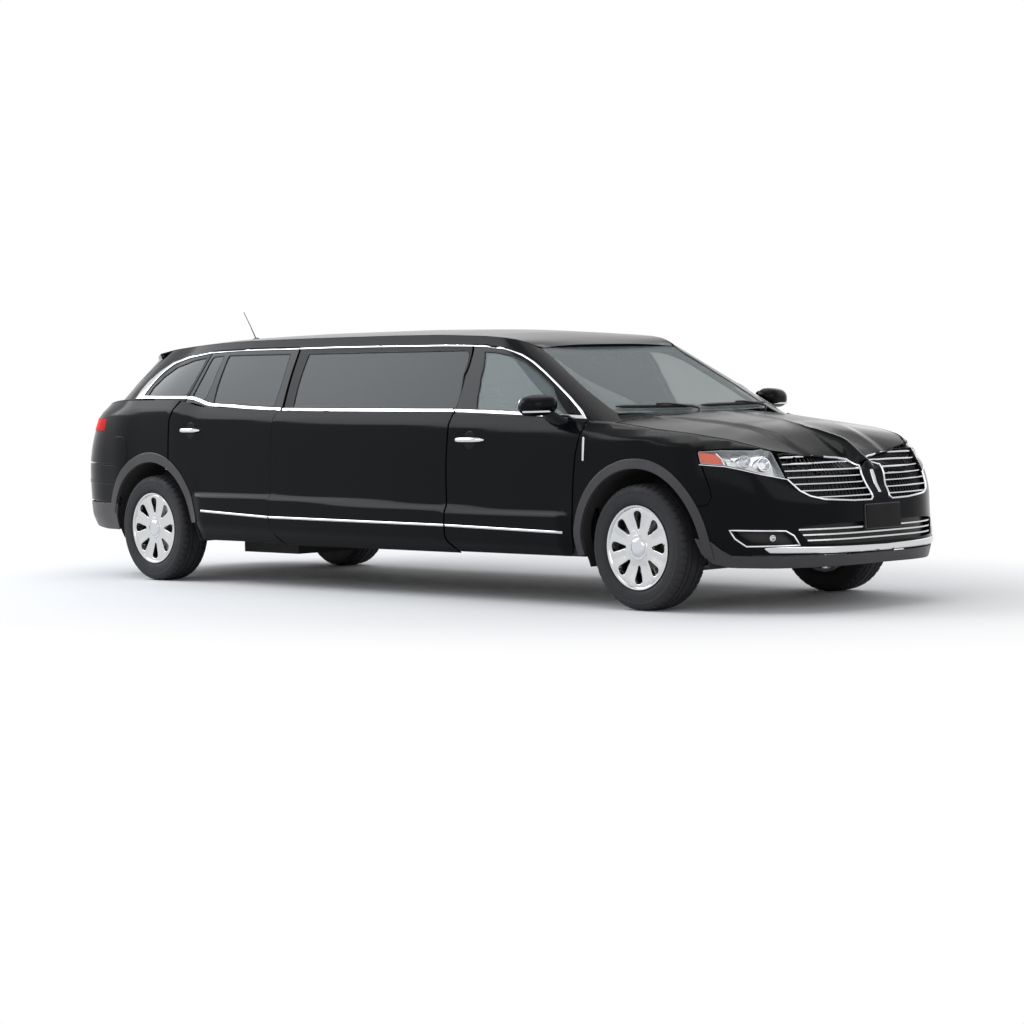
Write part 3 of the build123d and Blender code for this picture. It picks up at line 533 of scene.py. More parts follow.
def patch_data(fn, outline, holes=(), spacing=.04, thick=.012, out=0.0, edge=.0025):
    """Closed thin shell over an outline in fn's domain, with a rolled edge."""
    rings = [np.asarray(outline, float)] + [np.asarray(h, float) for h in holes]
    if signed_area(rings[0]) < 0:
        rings[0] = rings[0][::-1]
    for i in range(1, len(rings)):
        if signed_area(rings[i]) > 0:
            rings[i] = rings[i][::-1]
    v, f = triangulate(rings, spacing)
    p, n = fn(v[:, 0], v[:, 1]), normal(fn, v[:, 0], v[:, 1])
    count = len(v)
    # boundary edges and the direction across them
    directed = dict.fromkeys((t[i], t[(i + 1) % 3]) for t in f for i in range(3))
    border = [(a, b) for a, b in directed if (b, a) not in directed]
    away = np.zeros((count, 3))
    tri_n = np.cross(p[f[:, 1]] - p[f[:, 0]], p[f[:, 2]] - p[f[:, 0]])
    facing = np.sign(np.sum(tri_n * n[f[:, 0]], 1))
    flip = np.median(facing) < 0
    for a, b in border:
        d = p[b] - p[a]
        o = np.cross(d, n[a]) * (-1 if flip else 1)
        away[a] += o
        away[b] += o
    length = np.linalg.norm(away, axis=1, keepdims=True)
    is_edge = length[:, 0] > 1e-9
    away = np.where(length > 1e-9, away / np.maximum(length, 1e-9), 0)
    top = p + n * out
    ring_index = {int(i): k for k, i in enumerate(np.nonzero(is_edge)[0])}
    rim = np.array(list(ring_index))
    top_edge = top.copy()
    if edge and len(rim):
        top_edge[rim] = top[rim] - n[rim] * edge * .55
        inner = top.copy()
        inner[rim] = top[rim] - away[rim] * edge
        top = inner
    m = len(rim)
    verts = np.concatenate([top, top_edge[rim] if m else np.zeros((0, 3)), (p + n * (out - thick))])
    faces, loops = [], []
    tri = f[:, ::-1] if flip else f
    faces += [tuple(t) for t in tri]
    loops += [n[i] for t in tri for i in t]
    back = count + m
    for a, b in border:
        ra, rb = count + ring_index[a], count + ring_index[b]
        quad1 = (a, ra, rb, b)
        quad2 = (ra, back + a, back + b, rb)
        if flip:
            quad1, quad2 = quad1[::-1], quad2[::-1]
        na, nb = n[a] + away[a], n[b] + away[b]
        na, nb = na / np.linalg.norm(na), nb / np.linalg.norm(nb)
        look = {a: n[a], b: n[b], ra: na, rb: nb}
        faces.append(quad1)
        loops += [look[i] for i in quad1]
        faces.append(quad2)
        loops += [away[a] if i in (ra, back + a) else away[b] for i in quad2]
    faces += [tuple(back + i for i in t[::-1]) for t in tri]
    loops += [-n[i] for t in tri for i in t[::-1]]
    return verts, faces, np.array(loops)


def merge(*parts):
    """The data of several (verts, faces, ..) as one."""
    verts, faces, base = [], [], 0
    for v, f, *_ in parts:
        verts.append(v)
        faces += [tuple(i + base for i in t) for t in f]
        base += len(v)
    return np.concatenate(verts), faces, None


def loft(rings, caps=True):
    """Quads through closed rings of equal length (lists of 3-D points)."""
    rings = [np.asarray(r, float) for r in rings]
    n = len(rings[0])
    verts = np.concatenate(rings)
    faces = []
    for k in range(len(rings) - 1):
        for i in range(n):
            j = (i + 1) % n
            faces.append((k * n + i, k * n + j, (k + 1) * n + j, (k + 1) * n + i))
    if caps:
        faces.append(tuple(range(n))[::-1])
        faces.append(tuple((len(rings) - 1) * n + i for i in range(n)))
    return verts, faces


def solid(rings, caps=True):
    """Piece data of a loft."""
    return *loft(rings, caps), None


def mark_edges(mesh, angle):
    """Sharp edges where faces meet at more than the angle."""
    bm = bmesh.new()
    bm.from_mesh(mesh)
    bmesh.ops.recalc_face_normals(bm, faces=bm.faces)
    for e in bm.edges:
        if len(e.link_faces) == 2:
            e.smooth = e.calc_face_angle(0) < radians(angle)
    bm.to_mesh(mesh)
    bm.free()


def patch(name, fn, outline, material, body="body", replaces=(), slot=None, **kw):
    """A shell over an outline on fn."""
    piece(name, patch_data(fn, outline, **kw), material, body, None, replaces)


def half_round(width, height):
    """Section of a raised trim strip, with its feet sunk in."""
    sunk, steps = -.004, 6
    return [(-width / 2, sunk),
            *((-width / 2 * cos(pi * i / steps), height * sin(pi * i / steps) ** .7)
              for i in range(steps + 1)),
            (width / 2, sunk)]


# ------------------------------------------------------------------ materials
def new_material(name, color, rough, metal=0.0, **sockets):
    """Material, its nodes and its shader; further sockets by name."""
    mat = bpy.data.materials.new(name)
    mat.use_nodes = True
    tree = mat.node_tree
    bsdf = tree.nodes["Principled BSDF"]
    bsdf.inputs["Base Color"].default_value = (*color, 1)
    bsdf.inputs["Roughness"].default_value = rough
    bsdf.inputs["Metallic"].default_value = metal
    for key, value in sockets.items():
        bsdf.inputs[key.replace("_", " ")].default_value = value
    return mat, tree, bsdf


def node(tree, kind, **values):
    """New node with its sockets or settings filled in."""
    n = tree.nodes.new(kind)
    for key, value in values.items():
        if key in n.inputs:
            n.inputs[key].default_value = value
        else:
            setattr(n, key, value)
    return n


def noise(tree, scale, detail, coords=None):
    """Noise texture in the piece's own coordinates."""
    tex = node(tree, "ShaderNodeTexNoise", Scale=scale, Detail=detail, Roughness=.5)
    if coords is None:
        coords = tree.nodes.get("Coords") or node(tree, "ShaderNodeTexCoord", name="Coords")
        coords = coords.outputs["Object"]
    tree.links.new(coords, tex.inputs["Vector"])
    return tex


def add_bump(tree, bsdf, height, strength, distance):
    """Bumps of the shader from a height socket."""
    bump = node(tree, "ShaderNodeBump", Strength=strength, Distance=distance)
    tree.links.new(height, bump.inputs["Height"])
    tree.links.new(bump.outputs["Normal"], bsdf.inputs["Normal"])


def map_range(tree, value, lo, hi, to_lo, to_hi):
    """value scaled from one range to another."""
    m = node(tree, "ShaderNodeMapRange")
    m.inputs["From Min"].default_value, m.inputs["From Max"].default_value = lo, hi
    m.inputs["To Min"].default_value, m.inputs["To Max"].default_value = to_lo, to_hi
    tree.links.new(value, m.inputs["Value"])
    return m.outputs["Result"]


def mix_color(tree, factor, a, b):
    m = node(tree, "ShaderNodeMix", data_type="RGBA")
    tree.links.new(factor, m.inputs["Factor"])
    for sock, value in (("A", a), ("B", b)):
        target = [i for i in m.inputs if i.name == sock and i.type == "RGBA"][0]
        if isinstance(value, tuple):
            target.default_value = (*value, 1)
        else:
            tree.links.new(value, target)
    return [o for o in m.outputs if o.type == "RGBA"][0]


def vary_rough(tree, bsdf, texture, low, high):
    """Roughness that follows a texture between two values."""
    tree.links.new(map_range(tree, texture.outputs["Fac"], .3, .7, low, high),
                   bsdf.inputs["Roughness"])


def grain(tree, bsdf, scale, strength, distance, detail=2.0):
    """Fine bumps over the whole surface."""
    add_bump(tree, bsdf, noise(tree, scale, detail).outputs["Fac"], strength, distance)


def mottle(tree, bsdf, texture, dark, light):
    """Base colour that follows a texture."""
    tree.links.new(mix_color(tree, texture.outputs["Fac"], dark, light), bsdf.inputs["Base Color"])


def make_paint():
    mat, tree, bsdf = new_material("black_paint", (.0030, .0035, .0048), .15, 0.0,
                                   Specular_IOR_Level=.07)
    flake = noise(tree, 900.0, 2.0)
    dust = noise(tree, 3.5, 5.0)
    geo = node(tree, "ShaderNodeNewGeometry")
    sep = node(tree, "ShaderNodeSeparateXYZ")
    tree.links.new(geo.outputs["Position"], sep.inputs[0])
    low = map_range(tree, sep.outputs["Z"], .25, .75, 1.0, 0.0)
    mul = node(tree, "ShaderNodeMath", operation="MULTIPLY")
    tree.links.new(low, mul.inputs[0])
    tree.links.new(dust.outputs["Fac"], mul.inputs[1])
    film = map_range(tree, mul.outputs[0], .2, 1.0, 0.0, .15)
    color = mix_color(tree, film, (.0030, .0035, .0048), (.0065, .0062, .006))
    tree.links.new(color, bsdf.inputs["Base Color"])
    vary_rough(tree, bsdf, flake, .12, .20)
    grain(tree, bsdf, 240.0, .015, .0006, 1.0)
    return mat


def make_metal(name, color, rough, streak, scale, spread):
    mat, tree, bsdf = new_material(name, color, rough, 1.0)
    n = noise(tree, scale, 4.0)
    vary_rough(tree, bsdf, n, max(.01, rough - spread / 2), rough + spread / 2)
    if streak:
        grain(tree, bsdf, 500.0, streak, .0003)
    return mat


def make_plastic(name, color, rough, depth=.25, scale=700.0, shine=.3):
    mat, tree, bsdf = new_material(name, color, rough, Specular_IOR_Level=shine)
    n = noise(tree, 9.0, 4.0)
    lighter = tuple(min(1, c * 1.25 + .004) for c in color)
    mottle(tree, bsdf, n, color, lighter)
    grain(tree, bsdf, scale, depth, .0004)
    vary_rough(tree, bsdf, n, rough - .06, rough + .06)
    return mat


def make_glass(name, color, alpha, rough, shine):
    """Thin car glass: a tinted, partly clear sheet."""
    mat, tree, bsdf = new_material(name, color, rough, IOR=1.5, Alpha=alpha,
                                   Specular_IOR_Level=shine)
    vary_rough(tree, bsdf, noise(tree, 2.2, 2.0), rough * .6, rough * 1.6)
    return mat


def make_leather(name, color):
    mat, tree, bsdf = new_material(name, color, .42, 0, Specular_IOR_Level=.5)
    vor = node(tree, "ShaderNodeTexVoronoi", Scale=420.0)
    coords = node(tree, "ShaderNodeTexCoord", name="Coords")
    tree.links.new(coords.outputs["Object"], vor.inputs["Vector"])
    n = noise(tree, 14.0, 5.0)
    lighter = tuple(min(1, c * 1.6 + .006) for c in color)
    mottle(tree, bsdf, n, color, lighter)
    vary_rough(tree, bsdf, n, .34, .52)
    add_bump(tree, bsdf, vor.outputs["Distance"], .35, .0006)
    return mat


def make_rubber():
    mat, tree, bsdf = new_material("tyre_rubber", (.010, .010, .011), .62, Specular_IOR_Level=.28)
    n = noise(tree, 26.0, 6.0)
    mottle(tree, bsdf, n, (.012, .012, .014), (.030, .030, .034))
    vary_rough(tree, bsdf, n, .60, .82)
    grain(tree, bsdf, 900.0, .3, .0005)
    return mat


def make_wood():
    mat, tree, bsdf = new_material("dark_veneer", (.055, .026, .015), .22, 0,
                                   Coat_Weight=.8, Coat_Roughness=.06)
    coords = node(tree, "ShaderNodeTexCoord", name="Coords")
    mapping = node(tree, "ShaderNodeMapping")
    mapping.inputs["Scale"].default_value = (2.0, 14.0, 22.0)
    tree.links.new(coords.outputs["Object"], mapping.inputs["Vector"])
    n = noise(tree, 3.0, 8.0, mapping.outputs["Vector"])
    ramp_n = node(tree, "ShaderNodeValToRGB")
    ramp_n.color_ramp.elements[0].color = (.020, .009, .0055, 1)
    ramp_n.color_ramp.elements[1].color = (.085, .040, .021, 1)
    tree.links.new(n.outputs["Fac"], ramp_n.inputs["Fac"])
    tree.links.new(ramp_n.outputs["Color"], bsdf.inputs["Base Color"])
    add_bump(tree, bsdf, n.outputs["Fac"], .1, .0005)
    return mat


PAINT = make_paint()
CHROME = make_metal("bright_chrome", (.64, .65, .68), .07, 0, 40, .06)
ALLOY = make_metal("machined_alloy", (.62, .63, .64), .20, .06, 30, .12)
ALLOY_DARK = make_metal("alloy_barrel", (.30, .31, .32), .42, .1, 30, .15)
STEEL = make_metal("dark_steel", (.16, .16, .165), .55, .3, 22, .2)
ROTOR = make_metal("brake_rotor", (.42, .41, .40), .35, .2, 15, .2)
PIPE = make_metal("exhaust_pipe", (.42, .40, .37), .38, .1, 18, .2)
BLACK = make_plastic("black_plastic", (.012, .012, .013), .42)
GLOSS_BLACK = make_plastic("gloss_black", (.004, .004, .005), .12, .02, shine=.12)
TRIM = make_plastic("satin_trim", (.034, .033, .037), .36, .15)
SEAL = make_plastic("rubber_seal", (.008, .008, .008), .62, .1)
UNDER = make_plastic("underbody", (.020, .020, .020), .75, .5, 120.0)
CARPET = make_plastic("carpet", (.022, .021, .021), .95, .8, 260.0)
HEADLINER = make_plastic("headliner", (.10, .098, .095), .92, .4, 300.0)
GLASS_CLEAR = make_glass("clear_green_glass", (.21, .255, .260), .40, .02, .35)
GLASS_DARK = make_glass("dark_tinted_glass", (.026, .030, .035), .93, .03, .16)
LENS = make_glass("lamp_lens", (.80, .84, .87), .07, .02, .35)
AMBER = make_glass("amber_lens", (.74, .080, .006), .97, .25, .05)
RED = make_glass("red_lens", (.50, .0025, .002), .98, .28, .02)
MIRROR = make_metal("mirror_glass", (.85, .86, .88), .02, 0, 10, .01)
LEATHER = make_leather("black_leather", (.018, .017, .017))
LEATHER_GREY = make_leather("grey_leather", (.16, .155, .15))
TYRE = make_rubber()
WOOD = make_wood()

# ------------------------------------------------------------------ panel helpers
GAP = .003                         # half a shut line
WALL_THICK = .003                  # of the walls round lamps and openings
PANE_RADIUS = .022                 # at the panes' corners
FLIP = np.array([1.0, -1.0, 1.0])


def over(x, y):
    """(s, w) of the lower body's point above half-width y at x."""
    x, y = np.broadcast_arrays(np.asarray(x, float), np.asarray(y, float))
    past = x - np.clip(x, SPINE_R, SPINE_F)
    s = np.clip(x, SPINE_R, SPINE_F) + BEND * np.arctan2(past, np.maximum(y, 1e-6))
    belt = belt_z(s)
    return s, belt + radius_at(s, belt) - np.hypot(past, y)


def deck(x, y):
    """Point of the hood or tail above (x, y); y is signed, + to the left."""
    p = lower(*over(x, np.abs(y)))
    p[..., 1] = np.abs(p[..., 1]) * np.where(np.asarray(y, float) > 0, 1, -1)
    return p


def s_at(x, z):
    """s of the side's point at x from the front axle and height z."""
    x, z = np.broadcast_arrays(np.asarray(x, float), np.asarray(z, float))
    return bisect(lambda s: ~(lower(s, z)[..., 0] - AXLE_F > x),
                  np.full(x.shape, S_TAIL), np.full(x.shape, S_NOSE))


runs = [np.linalg.norm(np.diff(np.array(t), axis=0), axis=1) for t in (GREEN_BASE, GREEN_TOP)]
V_OF_U = np.concatenate([[0], np.cumsum((runs[0] + runs[1]) / 2)])
U_LAST, V_LAST = len(GREEN_BASE) - 1, float(V_OF_U[-1])


def v_of(u):
    """Distance along the greenhouse's outline for a corner count u."""
    u = np.asarray(u, float)
    side = np.sign(u)
    a = np.abs(u)
    back = a > U_LAST
    a = np.where(back, 2 * U_LAST - a, a)
    v = np.interp(a, np.arange(U_LAST + 1), V_OF_U)
    return side * np.where(back, 2 * V_LAST - v, v)


def green(v, z):
    """Point on the greenhouse by distance v along its outline."""
    v = np.asarray(v, float)
    side, a = np.sign(v), np.abs(v)
    back = a > V_LAST
    u = np.interp(np.where(back, 2 * V_LAST - a, a), V_OF_U, np.arange(U_LAST + 1))
    u = np.where(back, 2 * U_LAST - u, u)
    return green_fn(side * u, z)


def gv(points):
    """(u, z) points as (v, z)."""
    p = np.array([q[:2] for q in points], float)
    return np.stack([v_of(p[:, 0]), p[:, 1]], 1)


def tail_v(y, z):
    """v of the backlight's point at half-width y and height z."""
    y, z = np.broadcast_arrays(np.asarray(y, float), np.asarray(z, float))
    return bisect(lambda v: -green(v, z)[..., 1] > y,
                  np.full(y.shape, v_of(7.5)), np.full(y.shape, V_LAST))


def arc(cx, r, a0, a1, n=28):
    """Arc round a wheel in (s, z), angles in degrees from straight ahead."""
    ang = np.radians(np.linspace(a0, a1, n))
    x, z = cx + r * np.cos(ang), AXLE_Z + r * np.sin(ang)
    return np.stack([s_at(x, z), z], 1)


def outline(points, radius, gap=GAP, step=.035):
    """A panel's edge: corners rounded, drawn in by the gap, with close points."""
    return inset(dense(rounded(points, radius), step), gap)


def shrink(poly, d):
    """A robust inward copy: points that fold over are dropped."""
    poly = np.asarray(poly, float)
    q = inset(poly, d)
    a, b = poly, np.roll(poly, -1, 0)
    ab = b - a
    keep = []
    for p in q:
        t = np.clip(np.sum((p - a) * ab, 1) / np.maximum(np.sum(ab * ab, 1), 1e-12), 0, 1)
        keep.append(np.linalg.norm(a + ab * t[:, None] - p, axis=1).min() > d * .93)
    return q[np.array(keep) & inside(poly, q)]


def mirrored_s(points, s_mid):
    """The points on the other side of s_mid, in reverse order."""
    return [(2 * s_mid - s, z) for s, z in reversed(list(points))]


def mirrored_y(points):
    """The (x, y) points on the other side, in reverse order."""
    return [(x, -y) for x, y in reversed(points)]


def at_tail(points):
    """(s, z) of the rear face's (half-width, height) points."""
    return [(float(tail_s(y, z)), z) for y, z in points]


def at_back(points):
    """(v, z) of the backlight's (half-width, height) points."""
    return [(float(tail_v(y, z)), z) for y, z in points]


def flipped_data(data):
    """Piece data mirrored to the other side."""
    v, f, n = data
    if n is None:
        return v * FLIP, [t[::-1] for t in f], None
    loops, k = [], 0
    for t in f:
        loops.append(n[k:k + len(t)][::-1])
        k += len(t)
    return v * FLIP, [t[::-1] for t in f], np.concatenate(loops) * FLIP


def twins(name, data, material, body="body", replaces=(), slot=None, angle=None):
    """The piece on the right side and its mirror image; {} in a name is the side."""
    for side, d in (("right", data), ("left", flipped_data(data))):
        full = name.format(side) if "{}" in name else f"{name}_{side}"
        piece(full, d, material, body.format(side), angle, [r.format(side) for r in replaces])


def pair(name, fn, edge_line, material, body="body", replaces=(), slot=None, **kw):
    """A shell on the right side and its mirror image."""
    twins(name, patch_data(fn, edge_line, **kw), material, body, replaces, slot)


def strip_data(path, up, section, closed=False, taper=None):
    """Sweep a 2-D section (across, out) along a path."""
    path, up = np.asarray(path, float), np.asarray(up, float)
    m = len(path)
    rings = []
    for i in range(m):
        a = path[(i - 1) % m] if closed or i else path[0]
        b = path[(i + 1) % m] if closed or i < m - 1 else path[-1]
        t = (b - a) / np.linalg.norm(b - a)
        n = up[i] - t * (up[i] @ t)
        n /= np.linalg.norm(n)
        side = np.cross(n, t)
        k = 1.0 if taper is None else taper[i]
        rings.append([path[i] + side * u * k + n * o * k for u, o in section])
    if closed:
        rings.append(rings[0])
    return solid(rings, not closed)


def on(fn, points, out):
    """Points of fn for a list of (a, b), with their normals."""
    p = np.asarray(points, float)
    n = normal(fn, p[:, 0], p[:, 1])
    return fn(p[:, 0], p[:, 1]) + n * out, n


def trim_pair(name, fn, points, section, material, body="body", closed=False, step=.04,
              out=0.0, **kw):
    """A strip along points on fn, and its mirror image."""
    line = dense(np.asarray(points, float), step, closed)
    p, n = on(fn, line, out)
    twins(name, strip_data(p, n, section, closed), material, body, angle=40, **kw)


def wall_faces(m, closed=True):
    """Quads between four rings of m points, the last joined to the first."""
    return [(k * m + i, k * m + (i + 1) % m, (k + 1) % 4 * m + (i + 1) % m, (k + 1) % 4 * m + i)
            for k in range(4) for i in range(m if closed else m - 1)]


def wall_data(fn, edge_line, out_a, out_b):
    """A thin wall standing in from a closed outline on fn."""
    a, n = on(fn, edge_line, out_a)
    b, _ = on(fn, edge_line, out_b)
    mid = a.mean(0)
    grow = []
    for p in (a, b):
        t = np.roll(p, -1, 0) - np.roll(p, 1, 0)
        o = np.cross(n, t)
        o /= np.maximum(np.linalg.norm(o, axis=1, keepdims=True), 1e-9)
        if np.mean(np.sum(o * (p - mid), 1)) < 0:
            o = -o
        grow.append(p + o * WALL_THICK)
    return np.concatenate([a, b, grow[1], grow[0]]), wall_faces(len(a)), None


# ------------------------------------------------------------------ seams
SEAM_LAMP_TOP = [(.760, .947), (.677, .937), (.529, .943), (.421, .934)]
LAMP = [(.421, .934), (.529, .943), (.677, .937), (.760, .947), (.807, .856), (.848, .764),
        (.724, .802), (.635, .830), (.562, .849), (.440, .862)]
WING = [(.797, .907), (.893, .985), (1.107, .987), (1.312, .945), (1.316, .885), (1.308, .779),
        (1.328, .708), (1.340, .640), (1.319, .626), (1.188, .628), (1.022, .642), (.953, .663),
        (.906, .693), (.847, .758)]
HOOD_HALF = [(-.335, 0), (-.332, .25), (-.323, .50), (-.306, .80), (-.1, .809), (.06, .813),
             (.25, .792), (.42, .768), (.55, .728), (.64, .698), (.71, .645), (.765, .600),
             (.783, .527), (.813, .38), (.842, .241), (.87, .15), (.893, .085), (.93, .060),
             (.965, .047), (.982, .030), (.985, 0)]
ARCH_X = {"front": .012, "rear": -4.757}

fender = [(-.513, .300), (-.521, .368), (-.508, .53), (-.495, .688), (-.473, .916),
          (-.436, 1.060), (-.429, 1.104)]
for q in [(-.43, .885), (-.36, .84), (-.31, .806), (-.1, .813), (.06, .817), (.25, .795),
          (.42, .772), (.55, .732), (.64, .702), (.71, .650), (.765, .607)]:
    fender.append(tuple(float(c) for c in over(*q)))
fender += SEAM_LAMP_TOP[1:] + [(.440, .862), (.449, .853), (.490, .725), (.499, .667),
                               (.479, .626), (.430, .618)]
fender += [tuple(q) for q in arc(ARCH_X["front"], ARCH_F, 31.5, 188.7)]
FENDER_LINE = outline(fender, .008)
pair("fender_skin", lower, FENDER_LINE, PAINT, replaces=["fender_{}"], slot="paint",
     spacing=(.045, .035), thick=.010)

hood = HOOD_HALF + mirrored_y(HOOD_HALF[1:-1])
HOOD_LINE = outline(hood, .012, .0035, .03)
patch("hood_skin", deck, HOOD_LINE, PAINT, "hood", ["hood"], "paint", spacing=.030, thick=.010)
patch("hood_inner", deck, shrink(HOOD_LINE, .045), UNDER, "hood", spacing=.06, thick=.022,
      out=-.012)

# cowl panel below the glass
cowl = [(-.342, 0), (-.339, .25), (-.330, .50), (-.314, .795), (-.37, .835), (-.44, .80),
        (-.50, .66), (-.47, .45), (-.44, .20), (-.435, 0)]
COWL_LINE = outline(cowl + mirrored_y(cowl[1:-1]), .01, 0, .04)
patch("cowl_panel", deck, COWL_LINE, BLACK, "body", ["cowl"], "black_plastic", spacing=.05,
      thick=.008, out=-.010)

# ------------------------------------------------------------------ front bumper
POST = [(1.340, .640), (1.328, .708), (1.308, .779), (1.313, .836), (1.351, .843)]
top_half = [(.430, .618), (.479, .626), (.499, .667), (.490, .725), (.449, .853), (.440, .862),
            (.562, .849), (.635, .830), (.724, .802), (.847, .760), (.906, .693), (.953, .663),
            (1.022, .642), (1.188, .628), (1.319, .626)] + POST
VALANCE = [(.40, .438), (.423, .432), (.487, .416), (.531, .369), (.577, .338), (.808, .333),
           (1.34, .332)]
arch_low = [tuple(q) for q in arc(ARCH_X["front"], ARCH_F, 31.5, 7.2, 8)]
half = arch_low[::-1] + top_half
half = [(half[0][0], VALANCE[0][1] + .002)] + half[1:]
skin = half + mirrored_s(half, S_NOSE) + mirrored_s(VALANCE[::-1], S_NOSE) + VALANCE[::-1]
FOG = [(.597, .473), (.828, .466), (.859, .436), (.885, .397), (.673, .405), (.615, .452)]
mouth_top, mouth_foot = [(.885, .492), (.99, .505), (1.10, .510)], [(1.10, .392), (.945, .400)]
mouth = (mouth_top + mirrored_s(mouth_top, S_NOSE) + mirrored_s(mouth_foot, S_NOSE) + mouth_foot)
MOUTH_LINE = dense(rounded(mouth, .015), .03)
FOG_LINE = dense(rounded(FOG, .012), .03)
FOG_LEFT = np.array([(2 * S_NOSE - s, z) for s, z in FOG_LINE])
patch("front_bumper_skin", lower, outline(skin, .010, GAP, .03), PAINT, "body",
      ["front_bumper"], "paint", holes=[MOUTH_LINE, FOG_LINE, FOG_LEFT], spacing=.032,
      thick=.008)
low = [(.40, .432), (.420, .34), (.47, .285), (.56, .262), (.80, .258), (1.10, .262),
       (S_NOSE, .264)]
valance = VALANCE + mirrored_s(VALANCE, S_NOSE) + mirrored_s(low[:-1][::-1], S_NOSE) + low[::-1]
patch("front_valance", lower, outline(valance, .012, GAP, .03), TRIM, "body", (),
      "black_plastic", spacing=.035, thick=.008, out=.001)

# ------------------------------------------------------------------ doors and sides
FRONT_DOOR = [(-.441, 1.106), (-.439, 1.062), (-.478, .916), (-.500, .688), (-.513, .53),
              (-.526, .368), (-.545, .312), (-.575, .298), (-1.52, .298), (-1.575, .312),
              (-1.63, .37), (-1.641, .408), (-1.630, .552), (-1.618, .910), (-1.607, 1.094),
              (-1.590, 1.166), (-1.45, 1.160), (-1.0, 1.146), (-.60, 1.124), (-.47, 1.110)]
MID_PANEL = [(-1.595, 1.168), (-1.613, 1.094), (-1.624, .910), (-1.636, .552),
             (-1.647, .408), (-1.637, .362), (-1.60, .325), (-1.56, .300), (-1.55, .289),
             (-3.27, .290), (-3.32, .308), (-3.392, .36), (-3.407, .411), (-3.404, .638),
             (-3.385, .961), (-3.378, 1.133), (-3.349, 1.180), (-3.341, 1.192)]
ARCH_DOOR = [tuple(q) for q in arc(-4.765, .540, 5, 65, 14)]
REAR_DOOR = [(-3.333, 1.191), (-3.343, 1.180), (-3.372, 1.133), (-3.379, .961),
             (-3.398, .638), (-3.401, .411), (-3.385, .36), (-3.33, .312), (-3.28, .300),
             (-4.215, .30)] + ARCH_DOOR + [
             (-4.535, .908), (-4.536, 1.131), (-4.495, 1.205), (-4.437, 1.264), (-4.36, 1.260),
             (-4.27, 1.252), (-4.18, 1.235), (-4.10, 1.222), (-3.79, 1.212)]
TAIL_SEAM = at_tail([(.676, 1.262), (.676, 1.20), (.668, 1.05), (.664, .90), (.643, .832)])
QUARTER = ([(-4.444, 1.272), (-4.502, 1.207), (-4.543, 1.131), (-4.542, .84)]
           + [tuple(q) for q in arc(ARCH_X["rear"], ARCH_R, 60, 112, 14)]
           + [(-5.061, .807), (-5.320, .824)] + TAIL_SEAM[::-1] + [(-5.3, 1.276)])
FRONT_LINE = outline(FRONT_DOOR, .012)
REAR_LINE = outline(REAR_DOOR, .012)
MID_LINE = outline(MID_PANEL, .008)
QUARTER_LINE = outline(QUARTER, .010)
for line in (FRONT_LINE, REAR_LINE, MID_LINE, QUARTER_LINE):
    line[:, 1] = np.minimum(line[:, 1], belt_z(line[:, 0]) - .007)
LAMP_SIDE = [(-5.277, 1.054), (-5.283, 1.140)] + at_tail([(.676, 1.146), (.672, 1.054)])
LAMP_SIDE_LINE = dense(rounded(LAMP_SIDE, .008), .03)
for name, line, body, rep in (
        ("door_front_skin", FRONT_LINE, "door_front_{}", ["door_front_{}"]),
        ("door_rear_skin", REAR_LINE, "door_rear_{}", ["door_rear_{}"]),
        ("middle_panel", MID_LINE, "body", ["body_side_{}"]),
        ("quarter_panel", QUARTER_LINE, "body", [])):
    holes = [LAMP_SIDE_LINE] if name == "quarter_panel" else []
    pair(name, lower, line, PAINT, body, rep, "paint", spacing=(.06, .03), thick=.010, holes=holes)
    if name != "quarter_panel":
        pair(name.replace("skin", "lining").replace("panel", "lining"), lower,
             shrink(line, .030), TRIM, body, spacing=(.10, .05), thick=.070, out=-.012)

# jambs behind the door seams, so that no light shows through
for name, a, b, foot_z, top in (
        ("front", -.40, -.60, .31, 1.10), ("centre", -1.52, -1.74, .30, 1.15),
        ("rear", -3.27, -3.47, .30, 1.18), ("back", -4.30, -4.60, .88, 1.262)):
    pair(f"jamb_{name}", lower, dense([(a, foot_z), (b, foot_z), (b, top), (a, top)], .05), PAINT,
         "body", slot="paint", spacing=.06, thick=.03, out=-.090)
filler_s = float(tail_s(.675, .78))
pair("rear_seam_filler", lower,
     dense([(-5.03, .775), (filler_s, .775), (filler_s, .865), (-5.03, .865)], .04),
     GLOSS_BLACK, spacing=.05, thick=.006, out=-.026)
pair("sill_panel", lower, dense([(-.47, .292), (-4.24, .294), (-4.24, .345), (-.47, .345)], .06),
     UNDER, spacing=(.12, .02), thick=.02, out=-.018)

# ------------------------------------------------------------------ greenhouse lines
FRONT_OUT = [(3.212, 1.118), (3.055, 1.168), (2.962, 1.245), (2.932, 1.322), (2.925, 1.408),
             (2.985, 1.470), (3.191, 1.517), (3.586, 1.551), (4.062, 1.575), (4.339, 1.583)]
FRONT_IN = [(3.339, 1.140), (3.290, 1.165), (3.205, 1.239), (3.128, 1.323), (3.125, 1.400),
            (3.259, 1.473), (3.618, 1.527), (3.995, 1.551), (4.366, 1.560)]
DOOR_B = [(4.339, 1.583), (4.480, 1.500), (4.635, 1.398), (4.740, 1.280), (4.812, 1.180)]
MID_TOP = [(4.345, 1.583), (4.828, 1.592), (5.3, 1.600), (5.518, 1.604), (5.712, 1.604)]
MID_TOP_IN = [(4.380, 1.561), (4.834, 1.569), (5.3, 1.577), (5.513, 1.580), (5.713, 1.580)]
REAR_A = (5.717, 1.438)
REAR_TOP = [(5.716, 1.604), (6.033, 1.606), (6.680, 1.597)]
